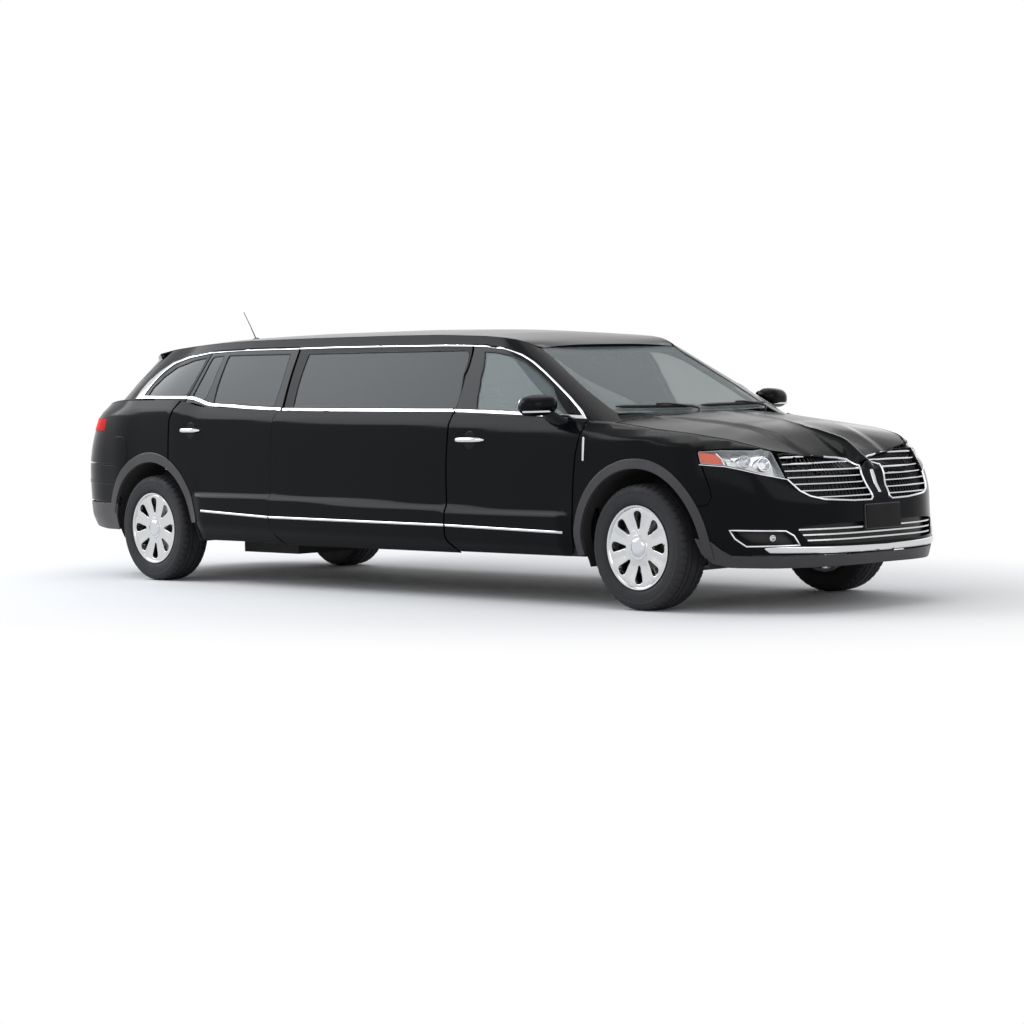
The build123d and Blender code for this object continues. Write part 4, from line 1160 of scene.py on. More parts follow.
REAR_TOP_IN = [(5.718, 1.581), (6.196, 1.585), (6.676, 1.575)]
REAR_C = [(6.680, 1.597), (6.619, 1.465), (6.575, 1.330), (6.570, 1.270)]
Q_TOP = [(6.690, 1.597), (7.151, 1.572), (7.568, 1.535), (7.787, 1.473), (7.912, 1.404),
         (7.906, 1.335), (7.836, 1.280)]
Q_TOP_IN = [(6.686, 1.575), (6.989, 1.550), (7.335, 1.503), (7.500, 1.437), (7.560, 1.368),
            (7.545, 1.304)]
PILLAR_D = [(8.130, 1.268), (8.34, 1.345), (8.555, 1.441), (8.37, 1.54), (8.145, 1.625)]
CREASE = [(2.001, 1.556), (2.35, 1.592), (2.815, 1.613), (3.3, 1.626), (3.963, 1.640),
          (4.806, 1.658), (5.2, 1.664), (5.6, 1.667), (6.0, 1.667), (6.35, 1.664),
          (6.7, 1.656), (7.3, 1.642), (7.8, 1.632), (8.145, 1.625)]
SCREEN_SIDE = [(1.960, 1.556), (1.880, 1.500), (1.930, 1.400), (1.960, 1.300), (1.900, 1.200),
               (1.86, 1.150)]
FRONT_PANE = [(4.231, 1.543), (4.023, 1.538), (3.717, 1.516), (3.378, 1.474), (3.263, 1.412),
              (3.222, 1.337), (3.262, 1.253), (3.400, 1.136), (4.290, 1.155), (4.660, 1.170),
              (4.60, 1.260), (4.48, 1.380)]
MID_PANE = [(4.445, 1.556), (4.650, 1.400), (4.800, 1.190), (5.30, 1.195), (5.660, 1.203),
            (5.663, 1.400), (5.655, 1.566)]
REAR_PANE = [(6.345, 1.573), (5.760, 1.569), (5.752, 1.394), (5.755, 1.212), (6.205, 1.238),
             (6.270, 1.400)]
REAR_SMALL = [(6.407, 1.572), (6.620, 1.566), (6.560, 1.440), (6.515, 1.282), (6.310, 1.262),
              (6.335, 1.390)]
Q_PANE = [(7.479, 1.300), (7.540, 1.366), (7.470, 1.437), (7.302, 1.500), (6.975, 1.546),
          (6.720, 1.562), (6.655, 1.465), (6.610, 1.300)]

line = gv(CREASE)
crease = green(line[:, 0], line[:, 1])
CREASE_X = np.concatenate([crease[:, 0] - AXLE_F, [-5.115, -5.252, -5.40, -5.528, -5.60]])[::-1]
CREASE_Y = np.concatenate([-crease[:, 1], [.585, .500, .400, .300, .18]])[::-1]
CREASE_Z = np.concatenate([crease[:, 2], [1.600, 1.585, 1.578, 1.575, 1.575]])[::-1]
CROWN_TOP = [(-5.62, 1.580), (-5.35, 1.617), (-5.0, 1.662), (-4.4, 1.693), (-3.6, 1.706),
             (-2.6, 1.704), (-2.0, 1.690), (-1.6, 1.664), (-1.35, 1.624), (-1.20, 1.590),
             (-1.12, 1.566)]
TOP_X, TOP_Z = smooth_table([q[0] for q in CROWN_TOP], [q[1] for q in CROWN_TOP], sigma=.06)


def roof(x, y):
    """Point on the roof above (x, y); y is signed, + to the left."""
    x, y = np.broadcast_arrays(np.asarray(x, float), np.asarray(y, float))
    half = np.interp(x, CREASE_X, CREASE_Y)
    edge, crown = np.interp(x, CREASE_X, CREASE_Z), np.interp(x, TOP_X, TOP_Z)
    f = np.abs(y) / np.maximum(half, .1)
    z = crown - (crown - edge) * np.minimum(f, 1.2) ** 2.2
    return np.stack([AXLE_F + x, y, z], -1)


def plan_line(xs):
    """(x, y) on the roof's crease."""
    return [(float(x), float(np.interp(x, CREASE_X, CREASE_Y))) for x in xs]


header = [(-1.150, 0), (-1.150, .25), (-1.140, .45), (-1.125, .575)]
side_run = plan_line(np.linspace(-1.17, -5.060, 48))
half = header[1:] + side_run + [(-5.063, .30)]
ROOF_LINE = outline([header[0]] + half + [(-5.063, 0)] + mirrored_y(half), .006, GAP * .6, .06)
patch("roof_skin", roof, ROOF_LINE, PAINT, "body", ["roof"], "paint", spacing=.06, thick=.010)
patch("headliner", roof, shrink(ROOF_LINE, .03), HEADLINER, spacing=.12, thick=.012, out=-.045)
tip = [(-5.069, .30)] + plan_line(np.linspace(-5.069, -5.528, 10)) + [(-5.60, .17)]
tip = tip + [(-5.615, 0)] + mirrored_y(tip)
GATE_TOP = outline(tip, .012, GAP, .04)
patch("liftgate_spoiler", roof, GATE_TOP, PAINT, "liftgate", (), "paint", spacing=.05, thick=.030)

frame_edge = (SCREEN_SIDE[::-1] + CREASE + PILLAR_D[::-1]
              + [(7.8, 1.262), (6.580, 1.262)] + [(6.578, 1.330), (6.627, 1.465)]
              + [(6.688, 1.597)] + [(6.680, 1.604), (6.033, 1.613), (5.722, 1.611)]
              + [(5.708, 1.600), (5.708, 1.438), (5.702, 1.180), (5.30, 1.176), (4.822, 1.160),
                 (4.750, 1.280), (4.645, 1.398), (4.490, 1.500), (4.352, 1.590)]
              + [(4.062, 1.583), (3.586, 1.559), (3.185, 1.525), (2.970, 1.476), (2.915, 1.408),
                 (2.922, 1.322), (2.952, 1.243), (3.045, 1.160), (3.20, 1.095), (2.60, 1.085),
                 (2.0, 1.10)])
FRAME_LINE = outline(gv(frame_edge), .006, .0015, .05)


def pane_line(points, grow=0.0):
    """Edge of a pane, grown beyond its corners' outline."""
    return inset(dense(rounded(gv(points), PANE_RADIUS), .05), -grow)


pair("side_frame", green, FRAME_LINE, PAINT, "body", (), "paint", spacing=(.07, .04),
     thick=.030, holes=[pane_line(MID_PANE), pane_line(Q_PANE)])
pair("side_frame_lining", green, shrink(FRAME_LINE, .010), HEADLINER, spacing=(.1, .05),
     thick=.012, out=-.036, holes=[pane_line(MID_PANE, .012), pane_line(Q_PANE, .012)])

front_upper = FRONT_OUT + DOOR_B[1:] + [(4.812, 1.150), (4.288, 1.130), (3.666, 1.110),
                                        (3.25, 1.098)]
rear_upper = REAR_TOP + REAR_C[1:] + [(6.570, 1.245), (6.459, 1.245), (6.350, 1.232),
                                      (6.217, 1.208), (5.968, 1.190), (5.711, 1.172), REAR_A]
for name, edge_pts, panes, body in (
        ("door_front_frame", front_upper, [FRONT_PANE], "door_front_{}"),
        ("door_rear_frame", rear_upper, [REAR_PANE, REAR_SMALL], "door_rear_{}")):
    line = outline(gv(edge_pts), .006, GAP, .05)
    pair(name, green, line, GLOSS_BLACK, body, (), "paint", spacing=(.06, .04), thick=.016,
         holes=[pane_line(p) for p in panes])
    pair(name + "_lining", green, shrink(line, .012), HEADLINER, body, spacing=(.08, .05),
         thick=.022, out=-.018, holes=[pane_line(p, .008) for p in panes])
for name, pts, mat, body, rep, slot_name in (
        ("door_front_pane", FRONT_PANE, GLASS_CLEAR, "door_front_{}", ["door_glass_front_{}"],
         "clear_glass"),
        ("door_rear_pane", REAR_PANE, GLASS_DARK, "door_rear_{}", ["door_glass_rear_{}"],
         "tinted_glass"),
        ("door_rear_small_pane", REAR_SMALL, GLASS_DARK, "door_rear_{}", [], "tinted_glass"),
        ("middle_pane", MID_PANE, GLASS_DARK, "body", ["side_glass"], "tinted_glass"),
        ("quarter_pane", Q_PANE, GLASS_DARK, "body", [], "tinted_glass")):
    pair(name, green, pane_line(pts, .004), mat, body, rep, slot_name, spacing=(.12, .08),
         thick=.005, out=-.005)
    trim_pair(name + "_seal", green, pane_line(pts, -.001), half_round(.010, .003), SEAL, body,
              closed=True, step=.05, out=-.002)

screen = SCREEN_SIDE + [(1.4, 1.150), (1.0, 1.146), (0.5, 1.142), (0, 1.140)]
screen_v = gv(screen)
top_v = gv([(1.0, 1.560), (0.5, 1.562), (0, 1.562)])[::-1]
ring = [*map(tuple, screen_v), *mirrored_s(screen_v[:-1], 0), *mirrored_s(top_v[1:], 0),
        *map(tuple, top_v)]
SCREEN_LINE = outline(ring, .02, .002, .05)
patch("windshield_pane", green, SCREEN_LINE, GLASS_CLEAR, "body", ["windshield"], "clear_glass",
      spacing=.08, thick=.006)
inner_ring = inset(SCREEN_LINE, .035)
patch("windshield_frit", green, inset(SCREEN_LINE, .004), GLOSS_BLACK, "body",
      holes=[inner_ring], spacing=.05, thick=.002, out=-.008)

# ------------------------------------------------------------------ tail
GATE_S = float(tail_s(.670, 1.22))
gate_half = at_tail([(.30, .742), (.604, .742), (.634, .83), (.658, .90), (.662, 1.05),
                     (.670, 1.20)])
gate_half += [(float(s), float(belt_z(s)) - .007) for s in np.linspace(GATE_S, S_TAIL, 9)[:-1]]
gate = gate_half + mirrored_s(gate_half, S_TAIL)
lamp_half = at_tail([(.662, 1.054), (.666, 1.146)])
lamp_ring = lamp_half + mirrored_s(lamp_half, S_TAIL)
LAMP_GATE = dense(rounded(lamp_ring, .006), .03)
patch("liftgate_skin", lower, outline(gate, .010, GAP, .03), PAINT, "liftgate", ["liftgate"],
      "paint", spacing=.04, thick=.012, holes=[LAMP_GATE])
half = at_tail([(.570, .785), (.610, .95), (.610, 1.160)])
patch("liftgate_lining", lower, outline(half + mirrored_s(half, S_TAIL), .04, 0, .04), TRIM,
      "liftgate", spacing=.08, thick=.03, out=-.030)

half = at_back([(.5, GREEN_FOOT), (.668, 1.285), (.668, 1.32), (.655, 1.42), (.640, 1.50),
                (.600, 1.565), (.52, 1.578), (.25, 1.585)])
BACK_LINE = outline(half + mirrored_s(half, V_LAST), .012, GAP, .04)
patch("backlight_pane", green, BACK_LINE, GLASS_DARK, "liftgate", ["liftgate_glass"],
      "tinted_glass", spacing=.07, thick=.006)
patch("backlight_frame", green, inset(BACK_LINE, .004), GLOSS_BLACK, "liftgate",
      holes=[inset(BACK_LINE, .055)], spacing=.05, thick=.014, out=-.008)


# the deck under the backlight, and its ends on the body
def rim(s, inward):
    """(x, y) of the belt at s, moved inward over the deck."""
    r = radius_at(s, belt_z(s)) - inward
    ang = np.clip((SPINE_R - s) / BEND, 0, pi / 2)
    return list(zip(np.clip(s, SPINE_R, None) - r * np.sin(ang), r * np.cos(ang)))


def foot(v):
    """(x, y) under the greenhouse's lower edge at v, as deck takes them."""
    p = green(v, np.full(np.shape(v), GREEN_FOOT))
    x = p[..., 0] - AXLE_F
    return list(zip(x - tail_pull(x) + .018, np.abs(p[..., 1])))


def deck_right(x, y):
    """The deck on the right side, with y taken as half-width."""
    return deck(x, -np.asarray(y, float))


gate_foot = foot(tail_v(np.linspace(.645, .02, 10), np.full(10, GREEN_FOOT)))
half = rim(np.linspace(S_TAIL + .02, GATE_S - .006, 10), .006) + gate_foot
patch("liftgate_deck", deck, dense(half + mirrored_y(half), .03), PAINT, "liftgate", (),
      "paint", spacing=.05, thick=.012)
body_foot = foot(np.linspace(float(v_of(7.2)), float(tail_v(.655, GREEN_FOOT)), 8))
pair("quarter_deck", deck_right,
     dense(body_foot + rim(np.linspace(GATE_S + .004, -5.02, 9), .006), .03), PAINT, "body", (),
     "paint", spacing=.05, thick=.012)


def tail_edge(s):
    """Points on the belt round the tail, with directions half way between side and deck."""
    belt = belt_z(s)
    n = normal(lower, s, belt - .03)
    n = n / np.linalg.norm(n, axis=1, keepdims=True) + np.array([0, 0, 1.0])
    n = n / np.linalg.norm(n, axis=1, keepdims=True)
    return lower(s, belt - .001) - n * .0035, n


BEAD = half_round(.0125, .0045)
piece("liftgate_edge",
      strip_data(*tail_edge(np.linspace(GATE_S - .004, 2 * S_TAIL - GATE_S + .004, 41)), BEAD),
      PAINT, "liftgate")
edge_at, edge_out = tail_edge(np.linspace(-5.02, GATE_S + .003, 13))
for side, flip in (("right", 1), ("left", -1)):
    k = np.array([1, flip, 1.0])
    piece("quarter_edge_" + side, strip_data((edge_at * k)[::flip], (edge_out * k)[::flip], BEAD),
          PAINT, "body")
# black glass between the gate's seam and the rear pillar
corner = gv(PILLAR_D).tolist() + at_back([(.64, 1.56), (.648, 1.50), (.662, 1.42), (.676, 1.32),
                                          (.676, 1.268)])
pair("rear_corner_pane", green, outline(corner, .008, .0015, .04), GLOSS_BLACK,
     slot="tinted_glass", spacing=.05, thick=.012, out=-.001)

# ------------------------------------------------------------------ rear bumper
arch_back = [tuple(q) for q in arc(ARCH_X["rear"], ARCH_R, 113.5, 163, 14)]
BUMP_TOP = [(-5.061, .803), (-5.320, .820)] + at_tail([(.640, .822), (.608, .738), (.30, .738)])
low_line = [(-5.125, .548), (-5.40, .552), (-5.70, .556), (S_TAIL, .556)]
half = low_line[:1] + [q for q in arch_back[::-1] if q[1] > .56] + BUMP_TOP
edge_pts = (half + mirrored_s(half, S_TAIL) + mirrored_s(low_line[1:-1][::-1], S_TAIL)
            + low_line[:0:-1])
patch("rear_bumper_skin", lower, outline(edge_pts, .010, GAP, .03), PAINT, "body",
      ["rear_bumper"], "paint", spacing=.04, thick=.010)
patch("rear_valance_filler", lower,
      dense([(-5.12, .52), (-5.40, .525), (S_TAIL, .530), (2 * S_TAIL + 5.40, .525),
             (2 * S_TAIL + 5.12, .52), (2 * S_TAIL + 5.12, .575), (S_TAIL, .585),
             (-5.12, .575)], .04), GLOSS_BLACK, spacing=(.06, .03), thick=.006, out=-.022)
low_half = [(-5.125, .540), (-5.150, .42), (-5.165, .345), (-5.30, .345), (-5.50, .362),
            (-5.80, .385), (S_TAIL, .385)]
up_half = [(-5.40, .544), (-5.70, .548), (S_TAIL, .548)]
edge_pts = (up_half + mirrored_s(up_half[:-1], S_TAIL)
            + mirrored_s(low_half[:-1][::-1], S_TAIL) + low_half[::-1])
patch("rear_valance", lower, outline(edge_pts, .010, GAP, .03), TRIM, "body", (),
      "black_plastic", spacing=.04, thick=.010, out=.002)
ledge = [(-5.135, .690), (-5.40, .694), (-5.70, .697), (S_TAIL, .698)]
ledge += mirrored_s(ledge[:-1], S_TAIL)
pts = dense(np.array(ledge), .04, False)
p, n = on(lower, pts, 0)
step_section = [(-.030, -.006), (-.018, -.001), (-.004, .0035), (.012, .0035), (.024, -.001),
                (.030, -.006)]
piece("rear_bumper_ledge", strip_data(p, n, step_section), PAINT, "body", 50)

# ------------------------------------------------------------------ wheel arches
for where, r_in, r_out, a0, a1, liner_turn, liner_y, wall_y in (
        ("front", ARCH_F, .520, -6, 187, (-14, 196), -.474, -.470),
        ("rear", ARCH_R, .533, 6, 168, (-10, 190), -.645, -.641)):
    arch_x = ARCH_X[where]
    ring = np.concatenate([arc(arch_x, r_in, a0, a1, 44), arc(arch_x, r_out, a0, a1, 44)[::-1]])
    pair(f"arch_moulding_{where}", lower, ring, TRIM, slot="black_plastic",
         spacing=(.05, .024), thick=.026, out=.007, edge=.004)
    # lip and liner
    ang = np.radians(np.linspace(*liner_turn, 48))
    rings = []
    for inward, grow in ((False, 0), (True, 0), (True, .004), (False, .004)):
        r = r_in + .006 + grow
        x, z = AXLE_F + arch_x + r * np.cos(ang), AXLE_Z + r * np.sin(ang)
        side_z = np.maximum(z, .27)
        side_y = lower(s_at(x - AXLE_F, side_z), side_z)[:, 1] + .016
        rings.append(np.stack([x, np.full_like(side_y, liner_y) if inward else side_y, z], 1))
    m = len(ang)
    faces = wall_faces(m, False)
    faces += [(0, m, 2 * m, 3 * m)[::-1], tuple(k * m + m - 1 for k in range(4))]
    twins(f"arch_liner_{where}", (np.concatenate(rings), faces, None), UNDER, angle=50)
    # inner wall of the wheel house with the axle's opening
    wall_r = r_in + .004
    ring = [(arch_x + wall_r * cos(t), AXLE_Z + wall_r * sin(t)) for t in ang]
    ring = ring + [(ring[-1][0], .30), (ring[0][0], .30)]

    def wheel_wall(a, b):
        a, b = np.broadcast_arrays(a, b)
        return np.stack([AXLE_F + a, np.full(a.shape, wall_y) + .006 * np.sin(a * 30), b], -1)

    pair(f"wheel_house_{where}", wheel_wall, dense(ring, .06), UNDER, spacing=.08,
         thick=.005, holes=[oval(arch_x, AXLE_Z - .02, .20, .16, 24)])

# ------------------------------------------------------------------ bright trim
half_chrome = half_round(.016, .006)
STRIP_Z = ([-4.157, -3.414, -1.629, -.576], [.506, .478, .466, .447])
for name, a, b, body in (("door_front", -.580, -1.624, "door_front_{}"),
                         ("middle", -1.640, -3.396, "body"),
                         ("door_rear", -3.408, -4.150, "door_rear_{}")):
    xs = np.linspace(a, b, max(6, int(abs(a - b) / .06)))
    trim_pair(f"{name}_bright_strip", lower, np.stack([xs, np.interp(xs, *STRIP_Z)], 1),
              half_chrome, CHROME, body, slot="chrome", out=.001)


def resample(line, count):
    """count points at even distances along an open line."""
    line = np.asarray(line, float)
    run = np.concatenate([[0], np.cumsum(np.linalg.norm(np.diff(line, axis=0), axis=1))])
    at = np.linspace(0, run[-1], count)
    return np.column_stack([np.interp(at, run, line[:, k]) for k in range(2)])


def band(name, outer, inner, body):
    """Bright band along a window's upper edge, between two lines."""
    a, b = resample(gv(outer), 40), resample(gv(inner), 40)
    t = np.linspace(0, 1, 40)[:, None]
    share = .42 + .36 * ramp(t, .62, .95) if name.endswith("quarter") else .42
    ring = dense(np.concatenate([a, (a + (b - a) * share)[::-1]]), .05)
    pair(name, green, ring, CHROME, body, slot="chrome", spacing=(.06, .03), thick=.014,
         out=.007, edge=.005)


band("window_chrome_front", FRONT_OUT, FRONT_IN, "door_front_{}")
band("window_chrome_middle", MID_TOP, MID_TOP_IN, "body")
band("window_chrome_rear", [(q[0], q[1] - .001) for q in REAR_TOP], REAR_TOP_IN, "door_rear_{}")
band("window_chrome_quarter", [(6.688, 1.597)] + Q_TOP[1:], Q_TOP_IN, "body")
for name, pts, half_w, body in (
        ("front", [(3.212, 1.129), (3.30, 1.131), (3.666, 1.136), (4.288, 1.157),
                   (4.806, 1.178)], .0085, "door_front_{}"),
        ("middle", [(4.816, 1.179), (5.0, 1.181), (5.454, 1.189), (5.704, 1.196)], .0085, "body"),
        ("rear", [(5.714, 1.197), (5.968, 1.216), (6.20, 1.232), (6.268, 1.242), (6.35, 1.260),
                  (6.459, 1.278), (6.565, 1.284)], .009, "door_rear_{}"),
        ("quarter", [(6.578, 1.285), (7.0, 1.288), (7.484, 1.291), (7.84, 1.284)], .009,
         "body")):
    line = dense(gv(pts), .04, False)
    band_ring = np.concatenate([line + [0, half_w], (line - [0, half_w + .003])[::-1]])
    pair(f"belt_chrome_{name}", green, band_ring, CHROME, body, slot="chrome",
         spacing=(.06, .03), thick=.018, out=.009, edge=.005)

# blank upright badge plate on each fender
pair("fender_bar", lower, outline([(-.398, .875), (-.414, .875), (-.418, 1.016), (-.402, 1.016)],
                                  .006, 0, .03), CHROME, slot="chrome", spacing=.03,
     thick=.006, out=.005, edge=.002)

# door handles over their cups
for name, x0, x1, z, body in (("front", -1.538, -1.274, .996, "door_front_{}"),
                              ("rear", -4.387, -4.171, 1.057, "door_rear_{}")):
    mid = (x0 + x1) / 2
    pair(f"handle_cup_{name}", lower, oval(mid, z, .052, .056, 28), GLOSS_BLACK, body,
         spacing=.025, thick=.012, out=.0015)
    xs = np.linspace(x0, x1, 17)
    t = np.linspace(-1, 1, 17)
    grow = np.sqrt(np.clip(1 - np.abs(t) ** 4, .06, 1))
    rise = .006 + .032 * (1 - np.abs(t) ** 4)
    rings = []
    for i, x in enumerate(xs):
        c, n = on(lower, [(x, z)], rise[i])
        n0, up = n[0], np.array([0, 0, 1.0])
        up = up - n0 * (up @ n0)
        up /= np.linalg.norm(up)
        rings.append([c[0] + up * .015 * grow[i] * cos(a) + n0 * .009 * grow[i] * sin(a)
                      for a in around(14)])
    twins(f"door_handle_{name}", solid(rings), CHROME, body, slot="chrome", angle=60)

# fuel door on the right side only
fuel = [(-5.11 + .086 * cos(t) * (abs(cos(t)) ** -.3 if abs(cos(t)) > .2 else 1),
         .905 + .112 * sin(t)) for t in around(28)]
patch("fuel_door", lower, np.array(fuel), PAINT, "body", (), "paint", spacing=.04, thick=.006,
      out=.0022, edge=.003)

# ------------------------------------------------------------------ mirrors
MIRROR_C = (-.705, -1.046, 1.206)
rings = []
for i, t in enumerate(np.linspace(-1, 1, 15)):
    k = max(.10, (1 - abs(t) ** 3.2)) ** .45
    y = MIRROR_C[1] + t * .118
    cx = MIRROR_C[0] + .016 * t
    ring = []
    for a in around(28):
        ca, sa = cos(a), sin(a)
        px = (abs(ca) ** .75) * (1 if ca > 0 else -1) * (.092 if ca > 0 else .056) * k
        pz = (abs(sa) ** .75) * (1 if sa > 0 else -1) * (.064 if sa > 0 else .062) * k
        ring.append((AXLE_F + cx + px, y, MIRROR_C[2] + pz + .006 * t))
    rings.append(ring)
twins("mirror_shell", solid(rings), PAINT, "door_front_{}", ["mirror_{}"], "paint", angle=60)
# glass on the rear face
rings = []
for depth, k in ((.0, .84), (-.004, .84), (-.004, .80), (-.001, .76)):
    rings.append([(AXLE_F + MIRROR_C[0] - .0530 + depth,
                   MIRROR_C[1] + .112 * k * math.copysign(abs(cos(a)) ** .6, cos(a)),
                   MIRROR_C[2] + .060 * k * math.copysign(abs(sin(a)) ** .6, sin(a)))
                  for a in around(28)])
twins("mirror_face", solid(rings), MIRROR, "door_front_{}", angle=40)
# chrome lower edge
pts = [(AXLE_F + MIRROR_C[0] + .082 * abs(cos(a)) ** .7, MIRROR_C[1] + .110 * sin(a),
        MIRROR_C[2] - .034) for a in np.linspace(-pi / 2, pi / 2, 19)]
twins("mirror_bright_line",
      strip_data(pts, [(0, 0, -1)] * 19, [(-.007, -.004), (-.007, .006), (.007, .006),
                                          (.007, -.004)]),
      CHROME, "door_front_{}", slot="chrome", angle=40)
rings = []
for x, y, zc, hx, hz in ((-.640, -.893, 1.098, .072, .034), (-.645, -.925, 1.108, .070, .036),
                         (-.655, -.950, 1.124, .066, .036), (-.668, -.975, 1.146, .058, .030),
                         (-.680, -1.00, 1.170, .046, .020)):
    rings.append([(AXLE_F + x + hx * cos(a), y, zc + hz * sin(a)) for a in around(16)])
twins("mirror_foot", solid(rings), GLOSS_BLACK, "door_front_{}", angle=60)
sail = [(3.345, 1.150), (3.27, 1.175), (3.20, 1.245), (3.155, 1.32), (3.30, 1.30), (3.52, 1.24),
        (3.66, 1.150)]
pair("mirror_sail", green, outline(gv(sail), .01, .001, .04), GLOSS_BLACK, "door_front_{}",
     spacing=.04, thick=.014, out=.004)

# ------------------------------------------------------------------ lamps
LAMP_LINE = outline(LAMP, .010, .004, .025)
pair("headlamp_lens", lower, LAMP_LINE, LENS, "body", ["headlamps"], "lamp_lens",
     spacing=.03, thick=.004, out=-.001)
pair("headlamp_back", lower, inset(LAMP_LINE, .002), ALLOY, spacing=.03,
     thick=.008, out=-.050, slot="alloy")
twins("headlamp_wall", wall_data(lower, inset(LAMP_LINE, .001), -.005, -.052), ALLOY_DARK, angle=40)
AMBER_LINE = outline([(.424, .931), (.511, .918), (.540, .886), (.556, .853), (.443, .864)],
                     .006, .002, .02)
pair("turn_lens", lower, AMBER_LINE, AMBER, slot="red_lens", spacing=.02, thick=.004, out=-.008)
trim_pair("headlamp_divider", lower, [(.511, .921), (.542, .888), (.557, .854)],
          half_round(.010, .008), CHROME, slot="chrome", step=.02, out=-.010)


def lathe_data(profile, centre, axis, n=36):
    """Revolve (out, radius) pairs about an axis through centre."""
    axis = np.array(axis, float)
    axis /= np.linalg.norm(axis)
    a = np.cross(axis, [0, 0, 1.0])
    if np.linalg.norm(a) < .1:
        a = np.cross(axis, [1.0, 0, 0])
    a /= np.linalg.norm(a)
    b = np.cross(axis, a)
    rings = []
    for o, r in profile:
        rings.append([np.array(centre) + axis * o + (a * cos(t) + b * sin(t)) * max(r, 1e-4)
                      for t in around(n)])
    return solid(rings, math.dist(profile[0], profile[-1]) > 1e-6)


def lamp_unit(name, s, z, depth, radius):
    """Bright bowl with a round lens, set back from the face."""
    c, n = on(lower, [(s, z)], -depth)
    axis = n[0] * .6 + np.array([.55, -.10, 0])
    bowl = [(.000, radius * .55), (.012, radius * .80), (.026, radius), (.030, radius),
            (.030, radius - .003), (.014, radius * .78), (.003, radius * .5)]
    twins(name + "_bowl", lathe_data(bowl, c[0], axis), CHROME, slot="chrome", angle=40)
    ball = [(.004, radius * .62), (.010, radius * .60), (.018, radius * .50),
            (.024, radius * .32), (.027, 0)]
    twins(name + "_lens", lathe_data(ball, c[0], axis, 28), LENS, slot="lamp_lens", angle=60)


lamp_unit("projector", .735, .868, .046, .040)
lamp_unit("main_beam", .640, .890, .044, .034)
pair("headlamp_bezel", lower, outline([(.575, .925), (.73, .935), (.785, .86), (.80, .80),
                                       (.73, .812), (.60, .858)], .012, 0, .02), CHROME,
     spacing=.02, thick=.004, out=-.036,
     holes=[oval(.735, .868, .046, .044, 20), oval(.640, .893, .036, .030, 20)])

# ------------------------------------------------------------------ split grille
WING_LINE = outline(WING, .010, .004, .025)
pair("grille_back", lower, inset(WING_LINE, .004), BLACK, "body", ["grille"], "black_plastic",
     spacing=.03, thick=.008, out=-.045)
twins("grille_wall", wall_data(lower, inset(WING_LINE, .001), -.004, -.047), GLOSS_BLACK, angle=40)
inner_edge = [(1.12, .982), (1.225, .968), (1.306, .942), (1.311, .885), (1.304, .779),
              (1.324, .708), (1.335, .646), (1.318, .631), (1.188, .633), (1.022, .647),
              (.953, .668), (.907, .698), (.850, .764)]
under_lamp = [(.724, .797), (.635, .825), (.562, .844), (.438, .857)]
trim_pair("grille_frame", lower, inner_edge, half_round(.012, .008), CHROME,
          slot="chrome", step=.03, out=-.001)
trim_pair("lamp_lower_trim", lower, [inner_edge[-1]] + under_lamp, half_round(.006, .004), CHROME,
          "body", slot="chrome", step=.03, out=.0)
trim_pair("grille_top_edge", lower,
          [(1.12, .982), (1.0, .981), (.897, .978), (.803, .904), (.850, .764)],
          half_round(.007, .005), GLOSS_BLACK, step=.03, out=-.001)


def spans(poly, z):
    """Where a level line crosses a closed (s, z) outline."""
    hits = []
    for (a0, b0), (a1, b1) in zip(poly, np.roll(poly, -1, 0)):
        if (b0 > z) != (b1 > z):
            hits.append(a0 + (a1 - a0) * (z - b0) / (b1 - b0))
    return sorted(hits)


bar = [(-.0050, -.010), (-.0058, .003), (-.003, .008), (.003, .008), (.0058, .003), (.0050, -.010)]


def w_at(s, z):
    """w of the surface's point at height z, also over the rounded front edge."""
    s = np.asarray(s, float)
    belt = belt_z(fold_s(s)[0])
    above = bisect(lambda w: lower(s, w)[..., 2] < z, belt.copy(), belt + .22, 26)
    return np.where(z <= belt, z, above)


def level_normal(s, w):
    """Horizontal direction out of the face."""
    n = normal(lower, s, np.minimum(w, belt_z(fold_s(s)[0]) - .02))
    n = n * [1, 1, 0]
    return n / np.linalg.norm(n, axis=-1, keepdims=True)


WING_Z = np.array([(s, lower(s, w)[2]) for s, w in WING_LINE])
low_z, high_z = WING_Z[:, 1].min(), WING_Z[:, 1].max()
for i, z in enumerate(np.linspace(low_z + .030, high_z - .022, 7)):
    hits = spans(WING_Z, z)
    s = np.linspace(hits[0] + .004, hits[-1] - .004, 18)
    w = w_at(s, z)
    n = level_normal(s, w)
    twins(f"grille_bar_{i + 1}", strip_data(lower(s, w) - n * .014, n, bar), CHROME,
          slot="chrome", angle=50)
ribs = []
for s in np.arange(.86, 1.31, .026):
    zs = spans(WING_Z[:, ::-1], s)
    if len(zs) < 2:
        continue
    z = np.linspace(zs[0] + .004, zs[-1] - .004, 6)
    w = w_at(np.full(6, s), z)
    n = level_normal(np.full(6, s), w)
    ribs.append(strip_data(lower(np.full(6, s), w) - n * .030, n,
                           [(-.0015, -.008), (-.0015, .004), (.0015, .004), (.0015, -.008)]))
twins("grille_ribs", merge(*ribs), BLACK, slot="black_plastic", angle=30)

# blank upright badge on the centre post
badge = [(-.014, .800), (.014, .800), (.016, .76), (.012, .668), (-.012, .668), (-.016, .76)]

patch("post_badge", on_nose, outline(badge, .006, 0, .02), CHROME, "body", (), "chrome",
      spacing=.02, thick=.008, out=.006, edge=.003)

